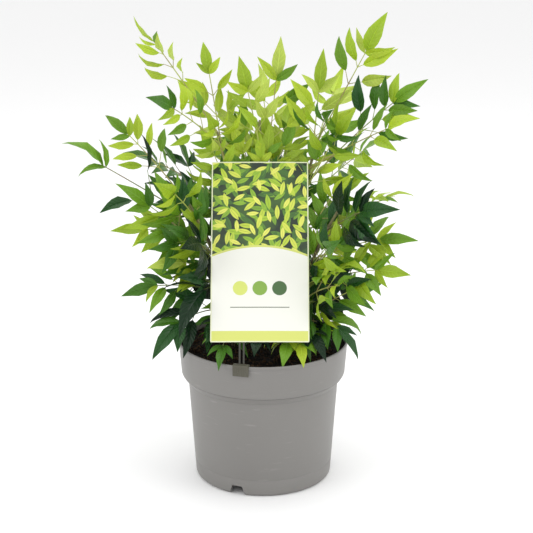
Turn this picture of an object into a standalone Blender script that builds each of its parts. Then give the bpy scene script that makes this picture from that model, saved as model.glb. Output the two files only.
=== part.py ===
"""A potted heavenly bamboo with its label, as closed solids in metres, +Z up.

The origin is the middle of the pot's flat underside and the front is -Y.
Six canes rise from the soil.  Each spray is one compound leaf: its stem leaves a
cane, or a bough that leaves a cane, and carries opposite side twigs with leaflets.
"""

import math
import random
from typing import NamedTuple

import bmesh
import bpy
from mathutils import Vector
from mathutils.bvhtree import BVHTree

UP = Vector((0.0, 0.0, 1.0))
GAP = 0.0003

# Pot, a 19 cm nursery container
POT_HEIGHT = 0.162
RIM_RADIUS = 0.097
BAND_FOOT_RADIUS = 0.0936
BAND_FOOT_HEIGHT = 0.1262
CREASE_RADII = (0.0923, 0.0929)
CREASE_HEIGHT = 0.1225
SHOULDER_RADIUS = 0.0893
SHOULDER_HEIGHT = 0.1183
NECK_RADIUS = 0.0857
NECK_HEIGHT = 0.1138
FOOT_RADIUS = 0.0784
FOOT_ROUND = 0.0045
WALL = 0.0020
LIP_ROUND = 0.0008
SKIRT_HEIGHT = 0.0120
SKIRT_THICK = 0.0050
FLOOR_FLARE = 0.0010
PAD_RADIUS = 0.0400
PAD_SLOPE = 0.0040
POT_STEPS = 48
ROUND_STEPS = 2

# Drainage: three notches in the skirt, round holes in the raised floor
NOTCH_COUNT = 3
NOTCH_FIRST_DEG = -112.0
NOTCH_WIDTH = 0.0190
NOTCH_HEIGHT = 0.0112
NOTCH_TAPER = 0.0035
CUTTER_BELOW = 0.0040
HOLE_COUNT = 6
HOLE_RADIUS = 0.0040
HOLE_RING = 0.0595
HOLE_SIDES = 10

# Soil
SOIL_TOP = 0.1520

# Label: a card on two strips that rise from a clip over the rim
CARD_WIDTH = 0.1080
CARD_LENGTH = 0.2070
CARD_THICK = 0.0008
CARD_CORNER = 0.0012
CARD_LEAN_DEG = 32.0
CARD_MIDDLE_X = -0.0035
CARD_START = 0.0245
CLIP_DEG = -104.4
CLIP_WIDTH = 0.0180
CLIP_WALL = 0.0012
CLIP_DROP = 0.0115
CLIP_INNER_FOOT = 0.1535
STRIP_WIDTH = 0.0020
STRIP_THICK = 0.0008
STRIP_SPACING = 0.0044
STRIP_LENGTH = 0.1150
STRIP_SINK = 0.0008

# Canes and boughs
CANE_SIDES = 8
CANE_RINGS = 9
CANE_TIP_RADIUS = 0.0014
CANE_STEP = 0.02
BOUGH_SIDES = 6
BOUGH_RINGS = 6
BOUGH_RADIUS = 0.0013
BOUGH_TIP_RADIUS = 0.0009
BOUGH_STEP = 0.00036
SEAT_STEP = 0.0004
SEAT_CHORD = 0.08
SMOOTH_DEG = 50.0

# Stems and side twigs of the foliage
STEM_RADIUS = 0.0010
TWIG_RADIUS = 0.0008
TWIG_TIP_RADIUS = 0.0007
TWIG_SIDES = 3
TWIG_SINK = 0.0002
TWIG_SHARE = 0.38
TWIG_SHRINK = 1.1
TWIG_LENGTHS = (0.85, 1.12)
TWIG_ANGLE_DEG = 46.0
TWIG_TURN_DEG = 8.0
TWIG_LIFTS = (-0.15, 0.30)
TWIG_DROOP = 0.5
LONG_TWIG = 0.90

# Leaflets
LEAF_SLIMNESS = 0.34
LEAF_THICK = 0.0009
LEAF_WAIST = 0.42
LEAF_SINK = 0.0010
LEAF_ANGLE_DEG = 46.0
END_LEAF = 1.05
END_PAIR_SIZES = (0.58, 0.75)
TWIG_TIP_SIZES = (0.75, 0.95)
TWIG_PAIR_SIZES = (0.55, 0.72)
TWIG_PAIR_PLACES = (0.55, 0.8)
FACE_OUT = 0.85
FACE_UP = 0.55

# How far the seeded draws turn a leaflet
END_FACE_JITTER = 0.20
FACE_JITTER = 0.30
PAIR_FACE_JITTER = 0.35
END_PAIR_JITTER = 0.10
PAIR_JITTER = 0.12

# Room that foliage keeps
CLEARANCE = 0.0005
SOIL_CLEARANCE = 0.0015

# Finishes: colour and roughness
POT_FINISH = ((0.27, 0.27, 0.26), 0.45)
SOIL_FINISH = ((0.018, 0.013, 0.010), 0.95)
CARD_FINISH = ((0.80, 0.84, 0.62), 0.35)
CLIP_FINISH = ((0.085, 0.083, 0.060), 0.50)
BARK_FINISH = ((0.16, 0.13, 0.075), 0.60)
STALK_FINISH = ((0.20, 0.22, 0.07), 0.50)
LEAF_FINISHES = {
    "lime": ((0.40, 0.56, 0.05), 0.40),
    "fresh": ((0.11, 0.27, 0.03), 0.40),
    "dark": ((0.022, 0.085, 0.028), 0.40),
}


class Cane(NamedTuple):
    """A woody stem, upright at the soil and leaning out to its top."""

    name: str
    foot: tuple
    top: tuple
    radius: float = 0.0026


class Spray(NamedTuple):
    """One compound leaf: where it starts on its cane and where its tip is."""

    name: str
    cane: str
    start: float
    azimuth: float
    reach: float
    height: float
    face: float
    bough: float = 0.0
    bare: float = 0.25
    bow: float = 0.10
    nodes: int = 3
    leaf: float = 0.042
    droop: float = 0.10
    tone: str = "fresh"


CANES = (
    Cane("west", (-0.034, 0.000), (-0.086, 0.002, 0.325)),
    Cane("northwest", (-0.018, 0.027), (-0.052, 0.042, 0.392)),
    Cane("middle", (0.002, 0.012), (-0.004, 0.056, 0.402)),
    Cane("northeast", (0.026, 0.024), (0.062, 0.050, 0.382)),
    Cane("east", (0.036, -0.008), (0.088, -0.008, 0.322)),
    Cane("back", (0.004, 0.042), (0.010, 0.096, 0.342)),
)

SPRAYS = (
    Spray("nw_tall", "northwest", 1.00, 172, 0.142, 0.526, -152, 0.30, 0.25, 0.04, 3, 0.037, -0.05, "lime"),
    Spray("n_left", "northwest", 0.90, 134, 0.097, 0.490, -90, 0.0, 0.35, 0.05, 2, 0.034, 0.0, "lime"),
    Spray("north", "middle", 0.62, 74, 0.073, 0.498, -80, 0.0, 0.50, 0.02, 2, 0.047, -0.05, "lime"),
    Spray("n_right", "northeast", 0.90, 42, 0.091, 0.484, -85, 0.0, 0.30, 0.05, 2, 0.047, -0.05, "lime"),
    Spray("ne_tall", "northeast", 1.00, 8, 0.138, 0.532, -85, 0.35, 0.25, 0.00, 2, 0.050, -0.05, "lime"),
    Spray("ene", "northeast", 0.78, 0, 0.178, 0.460, -75, 0.40, 0.20, 0.08, 3, 0.045, 0.0, "fresh"),
    Spray("e_blades", "northeast", 0.86, -11, 0.172, 0.424, -80, 0.0, 0.30, 0.06, 3, 0.042, 0.0, "lime"),
    Spray("e_far", "northeast", 0.55, 10, 0.176, 0.322, 0, 0.35, 0.10, 0.10, 3, 0.038, 0.06, "lime"),
    Spray("e_dark", "east", 0.82, -26, 0.162, 0.338, -60, 0.0, 0.30, 0.12, 3, 0.052, 0.10, "dark"),
    Spray("e_lime", "east", 0.62, -13, 0.176, 0.292, -50, 0.0, 0.30, 0.12, 3, 0.044, 0.10, "lime"),
    Spray("e_low", "east", 0.42, -24, 0.176, 0.262, -70, 0.25, 0.12, 0.14, 3, 0.040, 0.15, "lime"),
    Spray("e_droop", "northeast", 0.28, 2, 0.136, 0.194, -60, 0.0, 0.40, 0.20, 2, 0.044, 0.30, "dark"),
    Spray("se_rim", "east", 0.24, -33, 0.137, 0.157, -60, 0.0, 0.35, 0.34, 2, 0.042, 0.35, "fresh"),
    Spray("s_right", "east", 0.10, -66, 0.110, 0.164, -90, 0.0, 0.45, 0.26, 1, 0.036, 0.40, "lime"),
    Spray("s_left", "west", 0.10, -115, 0.116, 0.160, -90, 0.0, 0.45, 0.26, 1, 0.034, 0.40, "fresh"),
    Spray("w_upper", "northwest", 0.94, -171, 0.127, 0.445, -80, 0.0, 0.35, 0.10, 3, 0.038, 0.0, "lime"),
    Spray("w_lime", "west", 0.90, 167, 0.180, 0.412, -100, 0.25, 0.30, 0.10, 3, 0.034, 0.05, "lime"),
    Spray("w_far", "west", 0.84, -172, 0.221, 0.396, -110, 0.0, 0.50, 0.02, 1, 0.052, 0.04, "dark"),
    Spray("w_mid", "west", 0.60, -162, 0.167, 0.357, -100, 0.0, 0.32, 0.04, 3, 0.047, 0.04, "fresh"),
    Spray("w_mid_low", "northwest", 0.42, -176, 0.172, 0.294, -120, 0.35, 0.20, 0.12, 2, 0.040, 0.05, "fresh"),
    Spray("w_front", "west", 0.82, -143, 0.142, 0.368, -110, 0.0, 0.30, 0.10, 2, 0.046, 0.05, "lime"),
    Spray("w_low", "west", 0.50, -164, 0.135, 0.262, -110, 0.0, 0.30, 0.14, 2, 0.044, 0.15, "lime"),
    Spray("sw_low", "west", 0.36, -169, 0.165, 0.225, -120, 0.0, 0.45, 0.16, 3, 0.040, 0.20, "dark"),
    Spray("sw_dark", "west", 0.24, -152, 0.153, 0.157, -100, 0.0, 0.35, 0.34, 2, 0.050, 0.35, "dark"),
    Spray("in_top", "middle", 0.86, 131, 0.040, 0.480, -90, 0.0, 0.30, 0.06, 2, 0.040, 0.0, "lime"),
    Spray("in_top_left", "northwest", 0.86, -150, 0.070, 0.432, -90, 0.0, 0.30, 0.10, 2, 0.042, 0.05, "lime"),
    Spray("in_top_right", "northeast", 0.95, -28, 0.085, 0.436, -85, 0.0, 0.30, 0.08, 2, 0.042, 0.0, "fresh"),
    Spray("in_left", "west", 0.60, -137, 0.120, 0.300, -90, 0.0, 0.25, 0.16, 2, 0.050, 0.10, "dark"),
    Spray("in_right", "east", 0.50, -46, 0.118, 0.306, -80, 0.0, 0.25, 0.12, 2, 0.042, 0.10, "fresh"),
    Spray("in_left_low", "west", 0.40, -134, 0.142, 0.207, -110, 0.0, 0.45, 0.30, 1, 0.068, 0.10, "dark"),
    Spray("in_right_low", "east", 0.32, -40, 0.108, 0.214, -80, 0.0, 0.25, 0.16, 2, 0.040, 0.15, "fresh"),
    Spray("b_nw", "back", 0.92, 130, 0.155, 0.440, 110, 0.0, 0.35, 0.08, 3, 0.042, 0.0, "lime"),
    Spray("b_north", "back", 1.00, 92, 0.172, 0.450, 90, 0.0, 0.25, 0.08, 3, 0.044, 0.0, "lime"),
    Spray("b_ne", "northeast", 0.86, 55, 0.165, 0.455, 70, 0.0, 0.35, 0.08, 3, 0.044, 0.0, "lime"),
    Spray("b_w_mid", "northwest", 0.62, 150, 0.190, 0.360, 130, 0.30, 0.12, 0.12, 3, 0.044, 0.05, "fresh"),
    Spray("b_mid", "back", 0.72, 98, 0.200, 0.372, 90, 0.0, 0.35, 0.12, 3, 0.046, 0.10, "fresh"),
    Spray("b_e_mid", "northeast", 0.66, 38, 0.188, 0.372, 60, 0.30, 0.12, 0.12, 3, 0.044, 0.05, "fresh"),
    Spray("b_w_low", "northwest", 0.26, 138, 0.168, 0.245, 120, 0.0, 0.35, 0.20, 3, 0.044, 0.20, "dark"),
    Spray("b_low", "back", 0.36, 84, 0.180, 0.262, 90, 0.0, 0.35, 0.20, 3, 0.046, 0.20, "dark"),
    Spray("b_e_low", "northeast", 0.42, 46, 0.165, 0.270, 60, 0.0, 0.35, 0.20, 3, 0.044, 0.20, "dark"),
)


def remove_everything():
    """Empty the scene."""
    for thing in list(bpy.data.objects):
        bpy.data.objects.remove(thing, do_unlink=True)


def finish(obj, colour, roughness):
    """Give an object its own Principled material."""
    material = bpy.data.materials.new(obj.name)
    material.use_nodes = True
    shader = material.node_tree.nodes["Principled BSDF"]
    shader.inputs["Base Color"].default_value = (*colour, 1.0)
    shader.inputs["Roughness"].default_value = roughness
    shader.inputs["Metallic"].default_value = 0.0
    obj.data.materials.clear()
    obj.data.materials.append(material)
    return obj


def new_object(name, verts, faces):
    """Make a mesh object whose faces point outwards."""
    mesh = bpy.data.meshes.new(name)
    mesh.from_pydata([tuple(v) for v in verts], [], faces)
    shape = bmesh.new()
    shape.from_mesh(mesh)
    bmesh.ops.recalc_face_normals(shape, faces=shape.faces)
    shape.to_mesh(mesh)
    shape.free()
    obj = bpy.data.objects.new(name, mesh)
    bpy.context.scene.collection.objects.link(obj)
    return obj


def smoothed(obj, sharp_deg):
    """Shade an object smooth, with edges sharper than an angle kept."""
    obj.data.shade_smooth()
    obj.data.set_sharp_from_angle(angle=math.radians(sharp_deg))
    return obj


def polar(radius, degrees, height=0.0):
    """A point at a radius and azimuth from the pot's axis."""
    angle = math.radians(degrees)
    return Vector((radius * math.cos(angle), radius * math.sin(angle), height))


def turned(name, profile, steps, sharp_deg=30.0):
    """Spin an (r, z) profile, whose two ends lie on the axis, into a closed solid."""
    shape = bmesh.new()
    verts = [shape.verts.new((r, 0.0, z)) for r, z in profile]
    edges = [shape.edges.new(pair) for pair in zip(verts, verts[1:])]
    bmesh.ops.spin(
        shape,
        geom=verts + edges,
        cent=(0.0, 0.0, 0.0),
        axis=UP,
        angle=math.tau,
        steps=steps,
        use_merge=True,
    )
    bmesh.ops.remove_doubles(shape, verts=shape.verts, dist=1e-6)
    bmesh.ops.recalc_face_normals(shape, faces=shape.faces)
    mesh = bpy.data.meshes.new(name)
    shape.to_mesh(mesh)
    shape.free()
    obj = bpy.data.objects.new(name, mesh)
    bpy.context.scene.collection.objects.link(obj)
    return smoothed(obj, sharp_deg)


def arc(centre, radius, from_deg, to_deg, steps):
    """Points along an arc in the (r, z) plane."""
    points = []
    for k in range(steps + 1):
        angle = math.radians(from_deg + (to_deg - from_deg) * k / steps)
        points.append((centre[0] + radius * math.cos(angle), centre[1] + radius * math.sin(angle)))
    return points


def tube(points, radii, sides):
    """Vertices and faces of a tapering limb with flat ends."""
    tangents = [
        (points[min(k + 1, len(points) - 1)] - points[max(k - 1, 0)]).normalized()
        for k in range(len(points))
    ]
    across = tangents[0].orthogonal().normalized()
    verts = []
    for point, tangent, radius in zip(points, tangents, radii):
        across = (across - tangent * across.dot(tangent)).normalized()
        over = tangent.cross(across)
        for k in range(sides):
            angle = math.tau * k / sides
            verts.append(point + radius * (across * math.cos(angle) + over * math.sin(angle)))
    faces = []
    for ring in range(len(points) - 1):
        for k in range(sides):
            here = ring * sides + k
            beside = ring * sides + (k + 1) % sides
            faces.append((here, beside, beside + sides, here + sides))
    faces.append(tuple(reversed(range(sides))))
    last = (len(points) - 1) * sides
    faces.append(tuple(range(last, last + sides)))
    return verts, faces


def blade(base, along, face, length, extra=0.0):
    """Vertices and faces of an eight-faced leaflet, grown by extra on all sides."""
    across = along.cross(face).normalized()
    over = across.cross(along).normalized()
    waist = base + along * length * LEAF_WAIST
    half_width = 0.5 * length * LEAF_SLIMNESS + extra
    half_thick = 0.5 * LEAF_THICK + extra
    verts = [
        base - along * extra,
        base + along * (length + extra),
        waist + across * half_width,
        waist - across * half_width,
        waist + over * half_thick,
        waist - over * half_thick,
    ]
    faces = [(0, 2, 4), (0, 4, 3), (0, 3, 5), (0, 5, 2), (1, 4, 2), (1, 3, 4), (1, 5, 3), (1, 2, 5)]
    return verts, faces


def slab(corner, edges):
    """Vertices and faces of a box from one corner along three edges."""
    a, b, c = edges
    verts = [corner + a * i + b * j + c * k for k in (0, 1) for j in (0, 1) for i in (0, 1)]
    faces = [(0, 2, 3, 1), (4, 5, 7, 6), (0, 1, 5, 4), (2, 6, 7, 3), (0, 4, 6, 2), (1, 3, 7, 5)]
    return verts, faces


def bent(start, middle, end, share):
    """A point on the quadratic curve from start to end."""
    rest = 1.0 - share
    return start * rest * rest + middle * (2.0 * rest * share) + end * share * share


def cane_point(cane, share):
    """A point on a cane's centre line, from 0 at the soil to 1 at the top."""
    foot = Vector((*cane.foot, SOIL_TOP + GAP))
    top = Vector(cane.top)
    above_foot = foot + UP * 0.5 * (top.z - foot.z)
    return bent(foot, above_foot, top, share)


def cane_radius(cane, share):
    """A cane's radius at a share of its height."""
    return cane.radius + (CANE_TIP_RADIUS - cane.radius) * share


class Route:
    """The bent centre line of a spray, from its cane to its tip."""

    def __init__(self, spray, cane, stem_radius, sides):
        self.start = cane_point(cane, spray.start)
        self.end = polar(spray.reach, spray.azimuth, spray.height)
        self.length = (self.end - self.start).length
        self.middle = (self.start + self.end) / 2 + UP * spray.bow * self.length
        self.first = self.clear_share(spray, cane, stem_radius, sides)

    def point(self, share):
        """The point at a share of the route."""
        return bent(self.start, self.middle, self.end, share)

    def tangent(self, share):
        """The direction at a share of the route."""
        slope = (self.middle - self.start) * (1.0 - share) + (self.end - self.middle) * share
        return slope.normalized()

    def clear_share(self, spray, cane, stem_radius, sides):
        """The share at which a flat-ended stem comes just clear of its cane."""
        cane_line = (self.start - cane_point(cane, spray.start - CANE_STEP)).normalized()
        on_top = spray.start >= 1.0
        keep_out = GAP if on_top else cane_radius(cane, spray.start) + GAP
        share = 0.0
        nearest = 0.0
        while nearest < keep_out:
            share += SEAT_STEP
            chord = [self.point(share), self.point(share + SEAT_CHORD)]
            ring = tube(chord, [stem_radius, stem_radius], sides)[0][:sides]
            ring += [(ring[k - 1] + ring[k]) / 2 for k in range(sides)]
            offsets = [corner - self.start for corner in ring]
            if on_top:
                nearest = min(offset.dot(cane_line) for offset in offsets)
            else:
                nearest = min(offset.cross(cane_line).length for offset in offsets)
        return share


class Leaflet(NamedTuple):
    """A leaflet's base, direction, upper side and length."""

    base: Vector
    along: Vector
    face: Vector
    length: float


class Twig(NamedTuple):
    """A straight side twig and the leaflets that it carries."""

    start: Vector
    end: Vector
    leaflets: list


def jittered(direction, chance, amount):
    """A direction turned a little, by the seeded draws of chance."""
    nudge = Vector([chance.uniform(-amount, amount) for _ in range(3)])
    return (direction + nudge).normalized()


def forked(along, side, hand, droop):
    """The direction of one leaflet of a pair, which hangs a little."""
    turn = math.radians(LEAF_ANGLE_DEG)
    return along * math.cos(turn) + side * hand * math.sin(turn) - UP * droop


def flat_side(along, out):
    """The sideways and upper directions of the flat leaf at a point of its stem."""
    side = along.cross(out * FACE_OUT + UP * FACE_UP).normalized()
    return side, side.cross(along).normalized()


def grow(spray, route, first, chance):
    """The rule of a compound leaf: stem stations, side twigs and leaflets of the tip."""
    tip_share = 1.0 - END_LEAF * spray.leaf / route.length
    out = polar(1.0, spray.face)
    stations = [first]
    twigs = []
    leafy = first + (tip_share - first) * spray.bare
    for k in range(spray.nodes):
        share = leafy + (tip_share - leafy) * k / spray.nodes
        stations.append(share)
        along = route.tangent(share)
        side, face = flat_side(along, out)
        length = TWIG_SHARE * (tip_share - leafy) * route.length * (1.0 - TWIG_SHRINK * k / spray.nodes)
        for hand in (-1.0, 1.0):
            twigs.append(side_twig(spray, route.point(share), along, side * hand, face, length, chance))
    stations.append(tip_share)
    along = route.tangent(tip_share)
    side, face = flat_side(along, out)
    base = route.point(tip_share) - along * LEAF_SINK
    leaflets = [Leaflet(base, route.tangent(1.0), jittered(face, chance, END_FACE_JITTER), spray.leaf)]
    for hand in (-1.0, 1.0):
        length = spray.leaf * chance.uniform(*END_PAIR_SIZES)
        aim = jittered(forked(along, side, hand, spray.droop), chance, END_PAIR_JITTER)
        leaflets.append(Leaflet(base, aim, jittered(face, chance, FACE_JITTER), length))
    return stations, twigs, leaflets


def side_twig(spray, start, along, side, face, length, chance):
    """One side twig with a leaflet at its tip and, on a long one, a pair half way."""
    turn = math.radians(TWIG_ANGLE_DEG + chance.uniform(-TWIG_TURN_DEG, TWIG_TURN_DEG))
    aim = along * math.cos(turn) + side * math.sin(turn) + face * chance.uniform(*TWIG_LIFTS)
    aim = (aim.normalized() - UP * TWIG_DROOP * spray.droop).normalized()
    length = length * chance.uniform(*TWIG_LENGTHS)
    end = start + aim * length
    across = aim.cross(face).normalized()
    size = spray.leaf * chance.uniform(*TWIG_TIP_SIZES)
    tip_aim = (aim - UP * spray.droop).normalized()
    leaflets = [Leaflet(end - aim * LEAF_SINK, tip_aim, jittered(face, chance, FACE_JITTER), size)]
    place = start + aim * length * chance.uniform(*TWIG_PAIR_PLACES)
    for hand in (-1.0, 1.0):
        size = spray.leaf * chance.uniform(*TWIG_PAIR_SIZES)
        pair_face = jittered(face, chance, PAIR_FACE_JITTER)
        pair_aim = jittered(forked(aim, across, hand, spray.droop), chance, PAIR_JITTER)
        if length > LONG_TWIG * spray.leaf:
            leaflets.append(Leaflet(place + pair_aim * TWIG_SINK, pair_aim, pair_face, size))
    return Twig(start, end, leaflets)


def surface_of(obj):
    """A search tree over an object's evaluated surface."""
    return BVHTree.FromObject(obj, bpy.context.evaluated_depsgraph_get())


def is_clear(verts, faces, taken):
    """Whether a piece stays out of the soil and touches none of the taken surfaces."""
    is_low = min(vert.z for vert in verts) < SOIL_TOP + SOIL_CLEARANCE
    if is_low and min(vert.xy.length for vert in verts) < RIM_RADIUS:
        return False
    piece = BVHTree.FromPolygons(verts, faces)
    return not any(piece.overlap(surface) for surface in taken)


def joined(name, pieces):
    """Union loose pieces into one body and keep only its outer shell."""
    group = bpy.data.collections.new(name + "_pieces")
    bpy.context.scene.collection.children.link(group)
    first = new_object(name, *pieces[0])
    for verts, faces in pieces[1:]:
        part = new_object(name + "_piece", verts, faces)
        bpy.context.scene.collection.objects.unlink(part)
        group.objects.link(part)
    union = first.modifiers.new("union", "BOOLEAN")
    union.operation = "UNION"
    union.operand_type = "COLLECTION"
    union.collection = group
    union.solver = "EXACT"
    whole = bpy.data.meshes.new_from_object(first.evaluated_get(bpy.context.evaluated_depsgraph_get()))
    first.modifiers.clear()
    first.data = whole
    for part in list(group.objects):
        bpy.data.objects.remove(part, do_unlink=True)
    bpy.data.collections.remove(group)
    keep_largest(whole)
    return first


def keep_largest(mesh):
    """Drop loose scraps and the shells of sealed hollows."""
    shape = bmesh.new()
    shape.from_mesh(mesh)
    bmesh.ops.triangulate(shape, faces=shape.faces)
    islands = []
    waiting = set(shape.faces)
    while waiting:
        island = {waiting.pop()}
        border = list(island)
        while border:
            for edge in border.pop().edges:
                for face in edge.link_faces:
                    if face not in island:
                        island.add(face)
                        border.append(face)
        waiting -= island
        islands.append(island)
    islands.sort(key=len)
    loose = [face for island in islands[:-1] for face in island]
    bmesh.ops.delete(shape, geom=loose, context="FACES")
    shape.to_mesh(mesh)
    shape.free()


def outer_wall():
    """The pot's outer line from the foot to the rim, as (r, z)."""
    foot_centre = (FOOT_RADIUS - FOOT_ROUND, FOOT_ROUND)
    return [
        *arc(foot_centre, FOOT_ROUND, -90, 0, ROUND_STEPS),
        (NECK_RADIUS, NECK_HEIGHT),
        (SHOULDER_RADIUS, SHOULDER_HEIGHT),
        *[(radius, CREASE_HEIGHT) for radius in CREASE_RADII],
        (BAND_FOOT_RADIUS, BAND_FOOT_HEIGHT),
        *arc((RIM_RADIUS - LIP_ROUND, POT_HEIGHT - LIP_ROUND), LIP_ROUND, 0, 90, ROUND_STEPS),
    ]


def inner_wall():
    """The pot's inner line from the rim to the raised floor, as (r, z)."""
    return [
        (RIM_RADIUS - WALL, POT_HEIGHT),
        (BAND_FOOT_RADIUS - WALL, BAND_FOOT_HEIGHT),
        (NECK_RADIUS - WALL, NECK_HEIGHT),
        (FOOT_RADIUS - WALL + FLOOR_FLARE, SKIRT_HEIGHT + WALL),
    ]


def inner_radius(height):
    """The radius at which the faceted wall's inside lies, in the band."""
    rim, band_foot = inner_wall()[:2]
    rise = (height - band_foot[1]) / (rim[1] - band_foot[1])
    return (band_foot[0] + (rim[0] - band_foot[0]) * rise) * math.cos(math.pi / POT_STEPS)


def build_pot():
    """The container with its band, skirt, notches and drain holes."""
    underside = [
        (0.0, 0.0),
        (PAD_RADIUS, 0.0),
        (PAD_RADIUS + PAD_SLOPE, SKIRT_HEIGHT),
        (FOOT_RADIUS - SKIRT_THICK, SKIRT_HEIGHT),
        (FOOT_RADIUS - SKIRT_THICK, 0.0),
    ]
    floor = [(PAD_RADIUS + PAD_SLOPE, SKIRT_HEIGHT + WALL), (PAD_RADIUS, WALL), (0.0, WALL)]
    pot = turned("pot", underside + outer_wall() + inner_wall() + floor, POT_STEPS)
    cut = pot.modifiers.new("drainage", "BOOLEAN")
    cut.operation = "DIFFERENCE"
    cut.object = build_drain_cutter()
    cut.solver = "MANIFOLD"
    return finish(pot, *POT_FINISH)


def notch_block(middle_deg):
    """Vertices and faces of the block that cuts one notch in the skirt."""
    out = polar(1.0, middle_deg)
    side = UP.cross(out)
    half = NOTCH_WIDTH / 2
    outline = [
        (-half, -CUTTER_BELOW),
        (half, -CUTTER_BELOW),
        (half, 0.0),
        (half - NOTCH_TAPER, NOTCH_HEIGHT),
        (NOTCH_TAPER - half, NOTCH_HEIGHT),
        (-half, 0.0),
    ]
    verts = []
    for radius in (FOOT_RADIUS - 3 * WALL, FOOT_RADIUS + 3 * WALL):
        verts += [out * radius + side * s + UP * z for s, z in outline]
    count = len(outline)
    faces = [tuple(reversed(range(count))), tuple(range(count, 2 * count))]
    for i in range(count):
        j = (i + 1) % count
        faces.append((i, j, count + j, count + i))
    return verts, faces


def build_drain_cutter():
    """The notches and holes as closed shells that don't touch each other."""
    shells = [notch_block(NOTCH_FIRST_DEG + 360.0 * k / NOTCH_COUNT) for k in range(NOTCH_COUNT)]
    for k in range(HOLE_COUNT):
        centre = polar(HOLE_RING, NOTCH_FIRST_DEG + 360.0 * (k + 0.5) / HOLE_COUNT)
        ends = [centre + UP * (SKIRT_HEIGHT - WALL), centre + UP * (SKIRT_HEIGHT + 2 * WALL)]
        shells.append(tube(ends, [HOLE_RADIUS, HOLE_RADIUS], HOLE_SIDES))
    verts = []
    faces = []
    for shell_verts, shell_faces in shells:
        faces += [tuple(len(verts) + i for i in face) for face in shell_faces]
        verts += shell_verts
    cutter = new_object("drain_cutter", verts, faces)
    cutter.hide_render = True
    cutter.display_type = "WIRE"
    return cutter


def build_soil():
    """The growing medium, which fills the pot to below its rim."""
    inner = inner_wall()
    floor = inner[-1][1] + GAP
    profile = [
        (0.0, WALL + GAP),
        (PAD_RADIUS - 2 * GAP, WALL + GAP),
        (PAD_RADIUS + PAD_SLOPE - 2 * GAP, floor),
        (inner[-1][0] - 2 * GAP, floor),
        *[(r - 2 * GAP, z) for r, z in reversed(inner[1:-1])],
        (inner_radius(SOIL_TOP) - GAP, SOIL_TOP),
        (0.0, SOIL_TOP),
    ]
    return finish(turned("soil", profile, POT_STEPS), *SOIL_FINISH)


def card_frame():
    """The card plane: a point over the clip, its upward line and its outward side."""
    lean = math.radians(CARD_LEAN_DEG)
    along = Vector((0.0, math.sin(lean), math.cos(lean)))
    front = Vector((0.0, -math.cos(lean), math.sin(lean)))
    hinge = polar(RIM_RADIUS - 2 * WALL, CLIP_DEG, POT_HEIGHT + 2 * GAP + CLIP_WALL / 2)
    return hinge, along, front


def build_label():
    """The card, leaning back in front of the canes."""
    hinge, along, front = card_frame()
    corner = hinge + along * CARD_START + front * (STRIP_THICK / 2 + GAP)
    corner.x = CARD_MIDDLE_X - CARD_WIDTH / 2
    edges = (Vector((CARD_WIDTH, 0.0, 0.0)), along * CARD_LENGTH, front * CARD_THICK)
    card = new_object("label_card", *slab(corner, edges))
    round_corners = card.modifiers.new("corners", "BEVEL")
    round_corners.width = CARD_CORNER
    round_corners.segments = 2
    round_corners.limit_method = "WEIGHT"
    weights = card.data.attributes.new("bevel_weight_edge", "FLOAT", "EDGE")
    for edge in card.data.edges:
        first, last = (card.data.vertices[i].co for i in edge.vertices)
        weights.data[edge.index].value = float((first - last).length < 2 * CARD_THICK)
    return finish(card, *CARD_FINISH)


def build_clip():
    """The clip that grips the rim and the two strips that carry the card."""
    out = polar(1.0, CLIP_DEG)
    side = UP.cross(out)
    hinge, along, front = card_frame()
    half = CLIP_WIDTH / 2
    outer = RIM_RADIUS + GAP
    inner = math.sqrt(inner_radius(CLIP_INNER_FOOT) ** 2 - half ** 2) - GAP
    crown = POT_HEIGHT + GAP
    width = side * CLIP_WIDTH
    wall = out * CLIP_WALL
    outer_leg = out * outer - side * half + UP * (crown - CLIP_DROP)
    inner_leg = out * (inner - CLIP_WALL) - side * half + UP * CLIP_INNER_FOOT
    bridge = out * (inner - CLIP_WALL / 2) - side * half + UP * crown
    pieces = [
        slab(outer_leg, (width, UP * (CLIP_DROP + CLIP_WALL), wall)),
        slab(inner_leg, (width, UP * (crown - CLIP_INNER_FOOT + CLIP_WALL), wall)),
        slab(bridge, (width, UP * CLIP_WALL, out * (outer - inner + CLIP_WALL))),
    ]
    strip = (Vector((STRIP_WIDTH, 0.0, 0.0)), along * STRIP_LENGTH, front * STRIP_THICK)
    for hand in (-1.0, 1.0):
        corner = hinge - along * STRIP_SINK - front * STRIP_THICK / 2
        corner.x += hand * STRIP_SPACING / 2 - STRIP_WIDTH / 2
        pieces.append(slab(corner, strip))
    return finish(joined("label_clip", pieces), *CLIP_FINISH)


def build_cane(cane):
    """One woody cane from its flat cut at the soil to its top."""
    shares = [k / (CANE_RINGS - 1) for k in range(CANE_RINGS)]
    points = [cane_point(cane, share) for share in shares]
    radii = [cane_radius(cane, share) for share in shares]
    verts, faces = tube(points, radii, CANE_SIDES)
    for vert in verts[:CANE_SIDES]:
        vert.z = SOIL_TOP + GAP
    obj = new_object("cane_" + cane.name, verts, faces)
    return finish(smoothed(obj, SMOOTH_DEG), *BARK_FINISH)


def build_bough(spray, route):
    """The leafless lower stretch of a long spray, as one tapering limb."""
    points = []
    radii = []
    for k in range(BOUGH_RINGS):
        share = k / (BOUGH_RINGS - 1)
        points.append(route.point(route.first + (spray.bough - route.first) * share))
        radii.append(BOUGH_RADIUS + (BOUGH_TIP_RADIUS - BOUGH_RADIUS) * share)
    obj = new_object("bough_" + spray.name, *tube(points, radii, BOUGH_SIDES))
    return finish(smoothed(obj, SMOOTH_DEG), *STALK_FINISH)


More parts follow.
